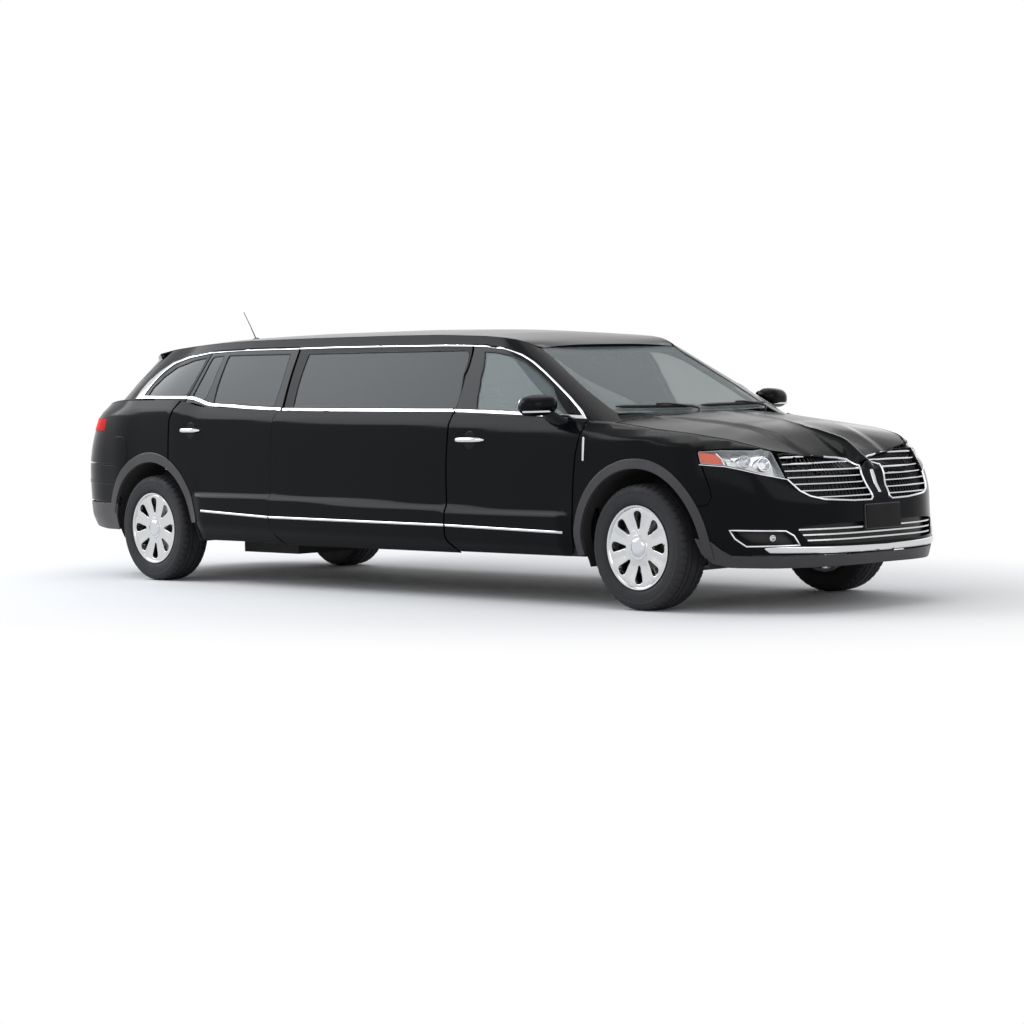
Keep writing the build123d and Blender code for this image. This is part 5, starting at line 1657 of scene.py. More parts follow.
# ------------------------------------------------------------------ lower openings
patch("mouth_back", lower, inset(MOUTH_LINE, -.004), BLACK, "body", ["lower_grille"],
      "black_plastic", spacing=.06, thick=.006, out=-.045)
piece("mouth_wall", wall_data(lower, MOUTH_LINE, -.002, -.047), GLOSS_BLACK)
for i, z in enumerate((.480, .449, .418)):
    hits = spans(MOUTH_LINE, z)
    pts = np.stack([np.linspace(hits[0] + .002, hits[-1] - .002, 40), np.full(40, z)], 1)
    p, n = on(lower, pts, -.010)
    piece(f"mouth_bar_{i + 1}", strip_data(p, n, [(-.0035, -.010), (-.0042, .004),
                                                  (.0042, .004), (.0035, -.010)]),
          ALLOY, "body", 50)
plate = [(-.150, .468), (.150, .468), (.150, .602), (-.150, .602)]
patch("front_plate_blank", on_nose, outline(plate, .012, 0, .03), GLOSS_BLACK, "body", (),
      "black_plastic", spacing=.04, thick=.006, out=.014, edge=.002)
patch("front_plate_holder", on_nose, outline([(a * 1.05, b + (.006 if b > .5 else -.006))
                                           for a, b in plate], .014, 0, .03), TRIM, "body", (),
      "black_plastic", spacing=.04, thick=.012, out=.008, edge=.003)

pair("fog_back", lower, inset(FOG_LINE, -.003), BLACK, spacing=.04, thick=.005, out=-.040)
twins("fog_wall", wall_data(lower, FOG_LINE, -.002, -.042), GLOSS_BLACK, angle=40)
trim_pair("fog_trim", lower, [(.579, .483), (.837, .475), (.873, .447), (.899, .392),
                              (.658, .390), (.605, .435)], half_round(.011, .006), CHROME,
          "body", closed=True, slot="chrome", step=.03)
lamp_unit("fog", .772, .437, .036, .018)

blade_top = [(.734, .381), (.809, .386), (1.098, .378), (S_NOSE, .372)]
blade_low = [(.765, .352), (1.10, .342), (S_NOSE, .338)]
ring = (blade_top + mirrored_s(blade_top[:-1], S_NOSE)
        + mirrored_s(blade_low[:-1][::-1], S_NOSE) + blade_low[::-1])
patch("front_blade", lower, outline(ring, .008, 0, .03), ALLOY, "body", (), "alloy",
      spacing=(.05, .015), thick=.020, out=.0095, edge=.006)

# ------------------------------------------------------------------ tail lamps
patch("gate_lamp_lens", lower, LAMP_GATE, RED, "liftgate", ["gate_lamp"], "red_lens",
      spacing=.04, thick=.010, out=.003, edge=.004)
pair("tail_lamp_lens", lower, inset(LAMP_SIDE_LINE, .001), RED, slot="red_lens",
     spacing=.03, thick=.010, out=.003, edge=.004)
rib_s = float(tail_s(.64, 1.1))
pts = [(rib_s, 1.098), (S_TAIL, 1.098), (2 * S_TAIL - rib_s, 1.098)]
p, n = on(lower, dense(np.array(pts), .05, False), .002)
piece("gate_lamp_rib", strip_data(p, n, half_round(.012, .005)), CHROME, "liftgate")

plate = [(-.155, .885), (.155, .885), (.155, 1.000), (-.155, 1.000)]
PLATE_Z = .9425
recess = [(a * 1.16, PLATE_Z + (b - PLATE_Z) * 1.3) for a, b in plate]
patch("rear_plate_recess", on_tail, outline(recess, .02, 0, .03), BLACK, "liftgate", (),
      "black_plastic", spacing=.05, thick=.004, out=.002, edge=.002)
patch("rear_plate_blank", on_tail, outline(plate, .012, 0, .03), GLOSS_BLACK, "liftgate", (),
      "black_plastic", spacing=.05, thick=.004, out=.007, edge=.001)
patch("gate_handle_bar", on_tail, outline([(-.26, 1.016), (.26, 1.016), (.27, 1.040),
                                        (-.27, 1.040)], .008, 0, .03), CHROME, "liftgate", (),
      "chrome", spacing=.04, thick=.016, out=.014, edge=.004)
for y in (-.56, .56):
    side = "right" if y < 0 else "left"
    patch(f"rear_reflector_{side}", on_tail, outline([(y - .06, .612), (y + .06, .612),
                                                   (y + .06, .640), (y - .06, .640)], .006, 0,
                                                  .02), RED, "body", (), "red_lens",
          spacing=.02, thick=.006, out=.004, edge=.002)
xs = np.linspace(-.20, .20, 9)
stop = [(-5.585 + .25 * abs(y), y) for y in xs]
stop_p = [np.array(roof(x, y)) + np.array([0, 0, -.012]) for x, y in stop]
piece("high_stop_lamp", strip_data(stop_p, [(-1, 0, 0)] * 9, half_round(.014, .008)), RED,
      "liftgate")

# ------------------------------------------------------------------ wipers and antenna
def tube_data(points, radius, n=10):
    """Round rod through the points, of one radius or one for each."""
    pts = np.asarray(points, float)
    r = np.broadcast_to(np.asarray(radius, float), (len(pts),))
    rings = []
    ref = np.array([0, 0, 1.0])
    for i, q in enumerate(pts):
        t = pts[min(i + 1, len(pts) - 1)] - pts[max(i - 1, 0)]
        t /= np.linalg.norm(t)
        a = np.cross(t, ref)
        if np.linalg.norm(a) < .05:
            a = np.cross(t, [1.0, 0, 0])
        a /= np.linalg.norm(a)
        b = np.cross(t, a)
        rings.append([q + (a * cos(k) + b * sin(k)) * r[i] for k in around(n)])
    return solid(rings)


def wiper(name, pivot, start, end, replaces=()):
    """Arm from its pivot to a blade that lies on the glass between two (v, z) points."""
    blade = dense(np.array([start, end]), .03, False)
    p, n = on(green, blade, .012)
    sec = [(-.004, -.010), (-.009, .000), (-.006, .008), (.006, .008), (.009, .000), (.004, -.010)]
    taper = np.interp(np.linspace(0, 1, len(p)), [0, .1, .9, 1], [.5, 1, 1, .5])
    blade_data = strip_data(p, n, sec, taper=taper)
    mid = p[len(p) // 2] + n[len(p) // 2] * .014
    base = np.array(pivot, float)
    arm = [base + (0, 0, -.02), base + (0, 0, .012), base * .75 + mid * .25 + (0, 0, .016),
           base * .3 + mid * .7 + (0, 0, .012), mid]
    piece(name, merge(blade_data, tube_data(spline(arm, 5), .006)), BLACK, "body",
          45, replaces)


wiper("wiper_driver", (AXLE_F - .372, .62, 1.152), (-.66, 1.175), (-.04, 1.172), ["wipers"])
wiper("wiper_passenger", (AXLE_F - .345, -.02, 1.152), (.02, 1.170), (.60, 1.180))
mast = [(AXLE_F - 4.73, 0, 1.672), (AXLE_F - 4.745, 0, 1.70), (AXLE_F - 4.80, 0, 1.785),
        (AXLE_F - 4.86, 0, 1.868), (AXLE_F - 4.876, 0, 1.890)]
piece("antenna_mast", tube_data(mast, [.012, .0045, .0032, .0026, .0030]), BLACK, "body",
      45, ["antenna"])
rings = []
for h, k in ((0, 1), (.010, .96), (.020, .78), (.027, .45), (.030, .1)):
    rings.append([(AXLE_F - 4.735 + .048 * k * cos(a), .020 * k * sin(a), 1.674 + h)
                  for a in around(24)])
piece("antenna_foot", solid(rings), BLACK, "body", 50)

# ------------------------------------------------------------------ wheels and tyres
RIM_R = .2415
DRAWN_HALF_W = .1225               # the half width that the wheel's tables are drawn for


def wheel_place(end):
    """Centre of a right wheel."""
    return np.array([AXLE_F if end == "front" else AXLE_R, -WHEEL_Y, AXLE_Z])


def tyre_data(centre):
    """Tyre with grooved tread and cut shoulder blocks; the outer side is -Y."""
    h, w = TYRE_R, HALF_W
    wall = [(.030, -.004), (.026, .004), (.016, .010), (.009, .022), (.006, .026), (.0045, .034),
            (.0012, .052), (.0008, .070), (.0028, .086), (.0020, .088), (.0050, .098)]
    # from the shoulder to the middle groove; 1 marks shoulder blocks, 2 the fine cuts
    tread = [(.011, .018, 0), (.017, .0105, 1), (.026, .0048, 1), (.038, .0022, 1),
             (.050, .0012, 1), (.0505, .0085, 0), (.0585, .0085, 0), (.059, .0007, 2),
             (.075, .0002, 2), (.084, 0, 2), (.0845, .0085, 0), (.0935, .0085, 0),
             (.094, 0, 0)]
    half = ([(w - a, RIM_R + rise, 0) for a, rise in wall]
            + [(w - a, h - drop, kind) for a, drop, kind in tread] + [(.0, h, 0)])
    prof = half + [(-a, r, k) for a, r, k in reversed(half[:-1])]
    prof = prof + [(-(w - .040), RIM_R - .010, 0), (w - .040, RIM_R - .010, 0)]
    steps = 240
    ang = around(steps)
    rings = []
    for i, t in enumerate(ang):
        cut = i % 5 == 0
        narrow = (i + 2) % 5 == 0
        ring = []
        for a, r, kind in prof:
            if kind == 1 and cut:
                r -= .0068
            if kind == 2 and narrow:
                r -= .0030
            ring.append(centre + (r * sin(t), -a, r * cos(t)))
        rings.append(ring)
    rings.append(rings[0])
    return solid(rings, False)


def face_depth(r):
    """How far the spoke face stands out from the wheel's middle plane."""
    return np.interp(r, [0, .060, .085, .120, .180, .215, .232],
                     [.104, .103, .098, .096, .102, .106, .104]) * HALF_W / DRAWN_HALF_W


def wheel_parts(end):
    """Data, material and smoothing angle of each part of a right wheel."""
    centre = wheel_place(end)

    def face(a, b):
        a, b = np.broadcast_arrays(np.asarray(a, float), np.asarray(b, float))
        r = np.hypot(a, b)
        ang = np.arctan2(b, a)
        # spokes are a little hollow along their middle lines
        phase = (ang / (pi / 4)) % 1 - .5
        dish = .0035 * np.exp(-(phase / .16) ** 2) * ramp(r, .09, .13)
        return np.stack([centre[0] + a, centre[1] - face_depth(r) + dish, centre[2] + b], -1)

    windows = []
    for i in range(8):
        mid = radians(45 * i)
        pts = []
        for r, a in ((.112, -.075), (.145, -.120), (.180, -.155), (.202, -.145), (.213, -.07),
                     (.215, 0), (.213, .07), (.202, .145), (.180, .155), (.145, .120),
                     (.112, .075), (.106, 0)):
            pts.append((r * cos(mid + a), r * sin(mid + a)))
        windows.append(spline(pts, 4, True))
    rim_line = oval(0, 0, .2325, .2325, 96)
    hub_hole = oval(0, 0, .040, .040, 32)
    spokes = patch_data(face, rim_line, [*windows, hub_hole], spacing=.018, thick=.026, edge=.003)
    w = HALF_W
    barrel = [(w - .012, RIM_R - .004), (w - .010, RIM_R + .006), (w - .014, RIM_R + .0075),
              (w - .024, RIM_R + .004), (w - .026, RIM_R - .008), (-(w - .026), RIM_R - .008),
              (-(w - .014), RIM_R + .0075), (-(w - .010), RIM_R + .004),
              (-(w - .014), RIM_R - .014), (-(w - .10), RIM_R - .026), (w - .050, RIM_R - .020),
              (w - .022, RIM_R - .012)]
    rim_data = lathe_data([(a, r) for a, r in barrel + barrel[:1]], centre, (0, -1, 0), 72)
    cap_k = HALF_W / DRAWN_HALF_W
    cap = [(.094, .040), (.101, .0545), (.1055, .0550), (.108, .0525), (.1085, .049),
           (.1100, .047), (.1120, .036), (.1130, .020), (.1132, .001)]
    cap = [(a * cap_k, r) for a, r in cap]
    cap_data = lathe_data(cap, centre, (0, -1, 0), 48)
    ring = [(.100, .0545), (.1035, .062), (.1025, .072), (.0985, .074), (.092, .072), (.092, .054)]
    ring_data = lathe_data([(a * cap_k, r) for a, r in ring + ring[:1]], centre, (0, -1, 0), 48)
    disc = [(-.010, .060), (-.010, .166), (-.034, .166), (-.034, .060)]
    disc_data = lathe_data([(a + .034, r) for a, r in disc + disc[:1]], centre, (0, -1, 0), 64)
    hub = [(.075, .001), (.075, .044), (.060, .070), (.018, .074), (-.035, .074), (-.060, .060),
           (-.065, .001)]
    hub_data = lathe_data(hub, centre, (0, -1, 0), 40)
    bolts = []
    for i in range(5):
        t = 2 * pi * i / 5 + .3
        c = centre + np.array([.0572 * cos(t), 0, .0572 * sin(t)])
        bolts.append(lathe_data([(.086 * cap_k, .0095), (.101 * cap_k, .0095),
                                 (.104 * cap_k, .007), (.105 * cap_k, .001)], c, (0, -1, 0), 6))
    valve = tube_data([centre + (.205, -.075, .02), centre + (.212, -.098, .02),
                       centre + (.208, -.112, .02)], [.004, .004, .003], 8)
    return {"spokes": (spokes, ALLOY, None), "rim": (rim_data, ALLOY, 40),
            "cap": (cap_data, CHROME, 40), "cap_ring": (ring_data, ALLOY, 40),
            "rotor": (disc_data, ROTOR, 40), "hub": (hub_data, STEEL, 40),
            "nuts": (merge(*bolts), CHROME, 30), "valve": (valve, BLACK, 40)}


for end in ("front", "rear"):
    body = f"wheel_{end}_{{}}"
    for key, (data, mat, angle) in wheel_parts(end).items():
        twins(f"{key}_{end}", data, mat, body, [body] if key == "spokes" else [],
              "alloy" if mat is ALLOY else None, angle)
    twins(f"tyre_tread_{end}", tyre_data(wheel_place(end)), TYRE, body, [f"tyre_{end}_{{}}"],
          "tyre", 32)
# brake calipers: on the knuckles in front, on the axle behind
for end, carrier in (("front", "knuckle_{}"), ("rear", "body")):
    centre = wheel_place(end)
    rings = []
    for t in np.linspace(radians(115), radians(165), 9):
        k = .82 if abs(t - radians(140)) > radians(20) else 1
        ring = []
        for a, r in ((-.048, .120), (-.050, .150), (-.040, .182), (.028, .184), (.036, .160),
                     (.034, .118), (.018, .112), (.016, .170), (-.018, .170), (-.020, .112)):
            ring.append(centre + np.array([r * cos(t), -a * k - .018, r * sin(t)]))
        rings.append(ring)
    twins(f"caliper_{end}", solid(rings), STEEL, carrier, slot="steel", angle=35)


# ------------------------------------------------------------------ interior
def add(name, data, material, replaces=(), body="body", angle=40):
    """Piece from (verts, faces, ..) measured from the front axle, with its hard edges marked."""
    verts = np.asarray(data[0], float) + [AXLE_F, 0, 0]
    return piece(name, (verts, data[1], None), material, body, angle, replaces)


def axes(origin, ex, ez):
    """Frame with x along ex and z near ez."""
    ex, ez = np.array(ex, float), np.array(ez, float)
    ex /= np.linalg.norm(ex)
    ey = np.cross(ez, ex)
    ey /= np.linalg.norm(ey)
    return np.array(origin, float), ex, ey, np.cross(ex, ey)


def put(frame_axes, local):
    """Local points placed by a frame from axes()."""
    o, ex, ey, ez = frame_axes
    q = np.asarray(local, float)
    return o + q[..., :1] * ex + q[..., 1:2] * ey + q[..., 2:3] * ez


def grid_lines(grooves, n):
    """n even parameters from -1 to 1, closer about the grooves."""
    w = .03
    out = list(np.linspace(-1, 1, n))
    for g in grooves:
        out = [t for t in out if abs(t - g) > 2.2 * w]
        out += [g - 2 * w, g - w, g, g + w, g + 2 * w]
    return np.array(sorted(t for t in out if -1 <= t <= 1))


def puff(t, grooves):
    """Fullness between neighbouring seams."""
    stops = np.array([-1, *sorted(grooves), 1.0])
    i = np.clip(np.searchsorted(stops, t, side="right") - 1, 0, len(stops) - 2)
    q = (t - stops[i]) / (stops[i + 1] - stops[i])
    return np.sqrt(np.clip(4 * q * (1 - q), 0, 1))


def cushion(name, place, size, across, along, crown, swell=.010):
    """A crowned, sewn cushion: grooves across its length and along it, piped round the rim."""
    length, width, thick = size
    cut = .009                     # the seams' depth
    us, vs = grid_lines(across, 15), grid_lines(along, 13)
    u, v = np.meshgrid(us, vs, indexing="ij")
    x = length / 2 * u * (1 - .07 * v ** 8) * (1 - .020 * (1 - v * v))
    y = width / 2 * v * (1 - .07 * u ** 8) * (1 - .020 * (1 - u * u))
    edge = thick - crown
    rim = (1 - np.abs(u) ** 3.4) * (1 - np.abs(v) ** 3.4)
    z = edge + crown * rim
    if len(across):
        z += swell * puff(u, across) * rim ** .4
    if len(along):
        z += swell * puff(v, along) * rim ** .4
    for g in across:
        z -= cut * np.exp(-((u - g) / .022) ** 2) * rim ** .3
    for g in along:
        z -= cut * np.exp(-((v - g) / .022) ** 2) * rim ** .3
    nu, nv = u.shape
    top = np.stack([x, y, z], -1).reshape(-1, 3)
    loop = ([(i, 0) for i in range(nu)] + [(nu - 1, j) for j in range(1, nv)]
            + [(i, nv - 1) for i in range(nu - 2, -1, -1)] + [(0, j) for j in range(nv - 2, 0, -1)])
    ids = [i * nv + j for i, j in loop]
    rim_pts = top[ids]
    verts, faces = [top], []
    for i in range(nu - 1):
        for j in range(nv - 1):
            a = i * nv + j
            faces.append((a, a + nv, a + nv + 1, a + 1))
    m, last, base = len(ids), ids, len(top)
    for t, out in ((.18, .014), (.45, .020), (.72, .014), (.94, .002), (1.0, -.014)):
        q = rim_pts.copy()
        q[:, 0] *= 1 + out * 2 / length
        q[:, 1] *= 1 + out * 2 / width
        q[:, 2] = rim_pts[:, 2] * (1 - t)
        verts.append(q)
        now = list(range(base, base + m))
        base += m
        faces += [(last[i], now[i], now[(i + 1) % m], last[(i + 1) % m]) for i in range(m)]
        last = now
    faces.append(tuple(last[::-1]))
    cord = tube_data(np.concatenate([rim_pts, rim_pts[:2]]) + [0, 0, .001], .0038, 6)
    v_all, f_all, _ = merge((np.concatenate(verts), faces), cord)
    obj = add(name, (put(place, v_all), f_all), LEATHER, angle=70)


def slab_data(place, size, radius, bevel, depth=0.0):
    """Block with rounded corners and rolled edges; depth hollows its face."""
    length, width, height = size
    base = rounded([(-length / 2, -width / 2), (length / 2, -width / 2),
                    (length / 2, width / 2), (-length / 2, width / 2)], radius, 5)
    rings = []
    levels = [(0, bevel), (bevel * .3, bevel * .3), (bevel, 0), (height - bevel, 0),
              (height - bevel * .3, bevel * .3), (height, bevel)]
    if depth:
        levels += [(height, bevel + .010), (height - depth, bevel + .014)]
    for z, d in levels:
        q = inset(base, d) if d else base
        rings.append(np.column_stack([q, np.full(len(q), z)]))
    v, f = loft(rings)
    return put(place, v), f, None


UP = (0, 0, 1)


def flat(x, y, z):
    """Level frame at a point, x forward."""
    return axes((x, y, z), (1, 0, 0), UP)


# carpet laid over the pan
add("cabin_carpet", slab_data(flat(-2.86, 0, .346), (4.15, 1.46, .010), .05, .003),
    CARPET)

# front seats
for side, y in (("right", -.40), ("left", .40)):
    rep = ("front_seats",) if side == "right" else ()
    add(f"front_seat_base_{side}", merge(
        slab_data(flat(-1.50, y, .347), (.44, .40, .16), .05, .012),
        slab_data(flat(-1.49, y - .16, .347), (.50, .05, .035), .012, .006),
        slab_data(flat(-1.49, y + .16, .347), (.50, .05, .035), .012, .006)),
        BLACK, rep)
    seat = axes((-1.49, y, .49), (1, 0, .10), (-.10, 0, 1))
    cushion(f"front_seat_cushion_{side}", seat, (.50, .33, .155), (-.45, .05, .5), (), .035)
    for k in (-1, 1):
        bolster = axes((-1.49, y + k * .205, .485), (1, 0, .10), (-.10, k * -.30, 1))
        cushion(f"front_seat_bolster_{side}_{'inner' if k * y < 0 else 'outer'}", bolster,
                (.50, .115, .175), (), (), .05)
    back = axes((-1.805, y, .90), (-.17, 0, 1), (1, 0, .17))
    cushion(f"front_back_cushion_{side}", back, (.60, .33, .115), (-.55, -.2, .15, .5), (), .03)
    for k in (-1, 1):
        wing = axes((-1.80, y + k * .20, .88), (-.17, 0, 1), (1, k * -.45, .17))
        cushion(f"front_back_wing_{side}_{'inner' if k * y < 0 else 'outer'}", wing,
                (.56, .110, .125), (), (), .045)
    shell = axes((-1.895, y, .88), (-.17, 0, 1), (1, 0, .17))
    add(f"front_back_shell_{side}", slab_data(shell, (.62, .47, .095), .09, .022), LEATHER_GREY)
    head = axes((-1.915, y, 1.225), (-.17, 0, 1), (1, 0, .17))
    cushion(f"front_headrest_{side}", head, (.17, .26, .12), (0.0,), (), .04)
    add(f"front_headrest_posts_{side}", merge(
        tube_data([(-1.87, y - .06, 1.10), (-1.885, y - .06, 1.20)], .006, 10),
        tube_data([(-1.87, y + .06, 1.10), (-1.885, y + .06, 1.20)], .006, 10)), CHROME)

# centre console with lever and cup wells
console = flat(-1.36, 0, .346)
add("centre_console", slab_data(console, (.86, .20, .27), .03, .012), BLACK)
add("console_deck", slab_data(flat(-1.18, 0, .614), (.44, .165, .010), .02, .003,
                              .004), GLOSS_BLACK)
add("gear_lever", merge(
    tube_data([(-1.12, 0, .62), (-1.125, 0, .66), (-1.13, 0, .70)], [.010, .009, .012], 14),
    lathe_data([(-.030, .002), (-.028, .016), (-.010, .024), (.012, .023), (.024, .014),
                (.027, .002)], (-1.132, 0, .725), (-.1, 0, 1), 20)), CHROME)
cushion("console_armrest", flat(-1.62, 0, .600), (.33, .185, .075), (), (), .02)
add("cup_wells", merge(*[lathe_data([(0, .039), (.006, .041), (.007, .037), (-.02, .034)],
                                    (-1.25 - .10 * i, 0, .622), UP, 24) for i in (0, 1)]),
    CHROME)

# rear bench, facing forward beside the rear doors
add("rear_bench_base", slab_data(flat(-4.03, 0, .347), (.42, 1.16, .20), .04,
                                 .012), BLACK, ("rear_bench",))
for name, y in (("right", -.395), ("middle", 0), ("left", .395)):
    seat = axes((-4.03, y, .52), (1, 0, .07), (-.07, 0, 1))
    cushion(f"rear_seat_cushion_{name}", seat, (.50, .385, .165), (-.4, .1, .55), (), .035)
    back = axes((-4.40, y, .90), (-.19, 0, 1), (1, 0, .19))
    cushion(f"rear_back_cushion_{name}", back, (.56, .385, .13), (-.6, -.25, .1, .45), (), .03)
    head = axes((-4.475, y, 1.235), (-.19, 0, 1), (1, 0, .19))
    cushion(f"rear_headrest_{name}", head, (.13, .25, .10), (), (), .035)
add("rear_bench_shell", slab_data(axes((-4.475, 0, .80), (-.19, 0, 1), (1, 0, .19)),
                                  (.80, 1.17, .075), .07, .02), LEATHER_GREY)

# long side seat on the left
add("side_lounge_base", slab_data(flat(-2.725, .55, .347), (1.12, .39, .20), .04,
                                  .012), BLACK, ("side_lounge",))
add("side_lounge_light", tube_data([(-3.27, .352, .40), (-2.18, .352, .40)], .005, 8), LENS)
for i, x in enumerate((-3.10, -2.725, -2.35)):
    seat = axes((x, .55, .53), (1, 0, 0), (0, -.05, 1))
    cushion(f"side_seat_cushion_{i + 1}", seat, (.37, .43, .165), (), (-.35, .25), .035)
    back = axes((x, .80, .91), (1, 0, 0), (0, -1, .12))
    cushion(f"side_back_cushion_{i + 1}", back, (.37, .44, .125), (), (-.55, -.15, .25, .6), .03)

# bar on the right: cabinet, doors, worktop, ice well and glasses
add("bar_carcass", slab_data(flat(-2.75, -.60, .347), (1.10, .31, .625), .02,
                             .008), WOOD, ("bar_cabinet",))
add("bar_worktop", slab_data(flat(-2.75, -.588, .972), (1.12, .33, .026), .03,
                             .008), GLOSS_BLACK)
add("bar_doors", merge(*[slab_data(axes((-3.115 + .365 * i, -.449, .64), (1, 0, 0), (0, 1, 0)),
                                   (.345, .50, .016), .012, .005, .006) for i in range(3)]),
    WOOD)
add("bar_pulls", merge(*[tube_data([(-3.115 + .365 * i - .06, -.424, .83),
                                    (-3.115 + .365 * i + .06, -.424, .83)], .005, 10)
                         for i in range(3)]), CHROME)
add("bar_rail", tube_data(np.array([(-3.28, -.70, 1.02), (-3.28, -.45, 1.02), (-2.22, -.45, 1.02),
                                    (-2.22, -.70, 1.02)]), .005, 10), CHROME)
add("ice_well", lathe_data([(-.14, .002), (-.14, .085), (0, .10), (.008, .108), (.012, .108),
                            (.010, .10), (0, .092), (-.13, .078), (-.135, .002)],
                           (-3.05, -.60, 1.0), UP, 36), CHROME)
glass = [(0, .002), (0, .030), (.003, .030), (.006, .005), (.060, .004), (.075, .018), (.10, .030),
         (.14, .032), (.17, .026), (.17, .024), (.14, .030), (.10, .028), (.078, .014), (.07, .002)]
add("bar_glasses", merge(*[lathe_data(glass, (-2.82 + .085 * i, -.62 + .06 * (i % 2), 1.0), UP, 22)
                           for i in range(6)]), LENS)

# partition behind the driver: padded lower panel, rail and blank screen
add("partition_panel", slab_data(axes((-2.072, 0, .74), (0, 1, 0), (1, 0, 0)), (1.50, .78, .034),
                                 .05, .010), WOOD, ("partition",))
for side, y in (("right", -.37), ("left", .37)):
    cushion(f"partition_pad_{side}", axes((-2.070, y, .62), (0, 1, 0), (-1, 0, 0)),
            (.64, .40, .040), (-.5, 0.0, .5), (), .012, .006)
add("partition_rail", tube_data([(-2.052, -.74, 1.142), (-2.052, .74, 1.142)], .010, 12), CHROME)
add("partition_screen", slab_data(axes((-2.076, 0, .98), (0, 1, 0), (-1, 0, 0)), (.62, .24, .018),
                                  .02, .005, .004), GLOSS_BLACK)

# dashboard: one lofted moulding, hood over the dials, centre stack, vents
dash = []
for y in np.linspace(-.755, .755, 61):
    hood_lift = .030 * math.exp(-((y - .40) / .19) ** 4)
    bow = .035 * (1 - (y / .755) ** 2)
    front = -.655 - .035 * (abs(y) / .755) ** 2
    dash.append([(x, y, z) for x, z in rounded([
        (front, .71), (front, 1.062 - .02 * abs(y)), (-.80, 1.098),
        (-.955 - bow * .5, 1.075 + hood_lift), (-1.000 - bow * .2, 1.030 + hood_lift * .6),
        (-.975, .930), (-1.005, .890), (-1.015, .80), (-.93, .715)], .030, 4)])
add("dashboard_moulding", solid(dash), TRIM, ("dashboard",), angle=50)
add("dash_dials", merge(*[lathe_data([(0, .002), (0, .050), (.006, .054), (.012, .054),
                                      (.012, .050), (.004, .048), (.004, .002)],
                                     (-1.012, .40 + k, .995), (-1, 0, .25), 36)
                          for k in (-.075, .075)]), GLOSS_BLACK)
add("dash_dial_rings", merge(*[lathe_data([(.012, .050), (.015, .052), (.012, .055), (.010, .052),
                                           (.012, .050)], (-1.014, .40 + k, .995), (-1, 0, .25), 36)
                               for k in (-.075, .075)]), CHROME)
add("centre_stack", slab_data(axes((-1.002, 0, .86), (0, 1, 0), (-1, 0, .12)), (.30, .34, .030),
                              .03, .008), GLOSS_BLACK)
add("centre_screen", slab_data(axes((-1.032, 0, .935), (0, 1, 0), (-1, 0, .12)), (.21, .13, .006),
                               .01, .002), MIRROR)
add("stack_knobs", merge(*[lathe_data([(0, .002), (0, .020), (.004, .021), (.018, .017),
                                       (.020, .002)], (-1.030, k, .80), (-1, 0, .12), 24)
                           for k in (-.10, .10)]), CHROME)
vents = []
for y in (-.66, -.20, .20, .66):
    place = axes((-1.003, y, .985), (0, 1, 0), (-1, 0, .25))
    vents.append(slab_data(place, (.13, .075, .012), .018, .004, .008))
    for k in (-.018, 0, .018):
        vents.append(slab_data(axes((-1.010, y, .985 + k), (0, 1, 0), (-1, 0, .25)),
                               (.11, .006, .006), .002, .001))
add("dash_vents", merge(*vents), BLACK)
add("dash_wood_strip", slab_data(axes((-.995, -.43, .915), (0, 1, 0), (-1, 0, .1)),
                                 (.52, .035, .014), .012, .004), WOOD)
add("pedals", merge(
    slab_data(axes((-.84, .34, .46), (0, 1, 0), (-1, 0, .6)), (.09, .07, .014), .01, .004),
    slab_data(axes((-.82, .46, .42), (0, 1, 0), (-1, 0, .5)), (.05, .15, .012), .01, .004),
    tube_data([(-.83, .34, .47), (-.72, .34, .60), (-.70, .34, .72)], .008, 10)), BLACK)

# steering wheel, turning with the column
hub_at, hub_axis = np.array((-1.215, .400, 1.013)), np.array((-.95, 0, .31))
hub_axis /= np.linalg.norm(hub_axis)
place = axes(hub_at, (0, 1, 0), hub_axis)
rim_rings = []
for t in around(64):
    out = np.array((cos(t), sin(t), 0))
    grip = 1 + .10 * math.exp(-((abs(((t / pi) % 2) - 1) - .5) / .16) ** 2)
    rim_rings.append([put(place, out * (.183 + .0125 * grip * cos(k))
                          + [0, 0, .0138 * grip * sin(k)]) for k in around(14)])
STEER = "steering_wheel"
wheel_body = next((b for b in (STEER, "steering_column") if b in frame["bodies"]), "body")
add("steering_rim", solid(rim_rings + rim_rings[:1], False), LEATHER, (STEER,),
    wheel_body, 60)
spokes = []
for a in (0, pi, -pi / 2):
    pts = []
    for r, half, lift in ((.045, .036, -.012), (.09, .030, -.008), (.13, .020, -.003),
                          (.182, .017, 0)):
        side = np.array((-sin(a), cos(a), 0))
        mid = np.array((cos(a), sin(a), 0)) * r
        pts.append([put(place, mid + side * half * c + [0, 0, lift + .007 * s])
                    for c, s in ((-1, -.6), (-.8, -1), (.8, -1), (1, -.6), (1, .6), (.8, 1),
                                 (-.8, 1), (-1, .6))])
    spokes.append(loft(pts))
add("steering_spokes", merge(*spokes), BLACK, (), wheel_body)
add("steering_hub", lathe_data([(-.045, .002), (-.045, .045), (-.02, .066), (.004, .068),
                                (.014, .060), (.019, .035), (.020, .002)], hub_at, hub_axis, 40),
    LEATHER, (), wheel_body, 50)
add("column_shroud", lathe_data([(-.055, .004), (-.055, .060), (.07, .050), (.095, .040),
                                 (.10, .004)], (-1.075, .40, .962), (-.95, 0, .31), 30), BLACK)
add("column_stalks", merge(*[tube_data([(-1.13, .40 + k * .03, .985), (-1.14, .40 + k * .12, .995),
                                        (-1.145, .40 + k * .155, 1.0)], [.005, .006, .009], 10)
                             for k in (-1, 1)]), BLACK)

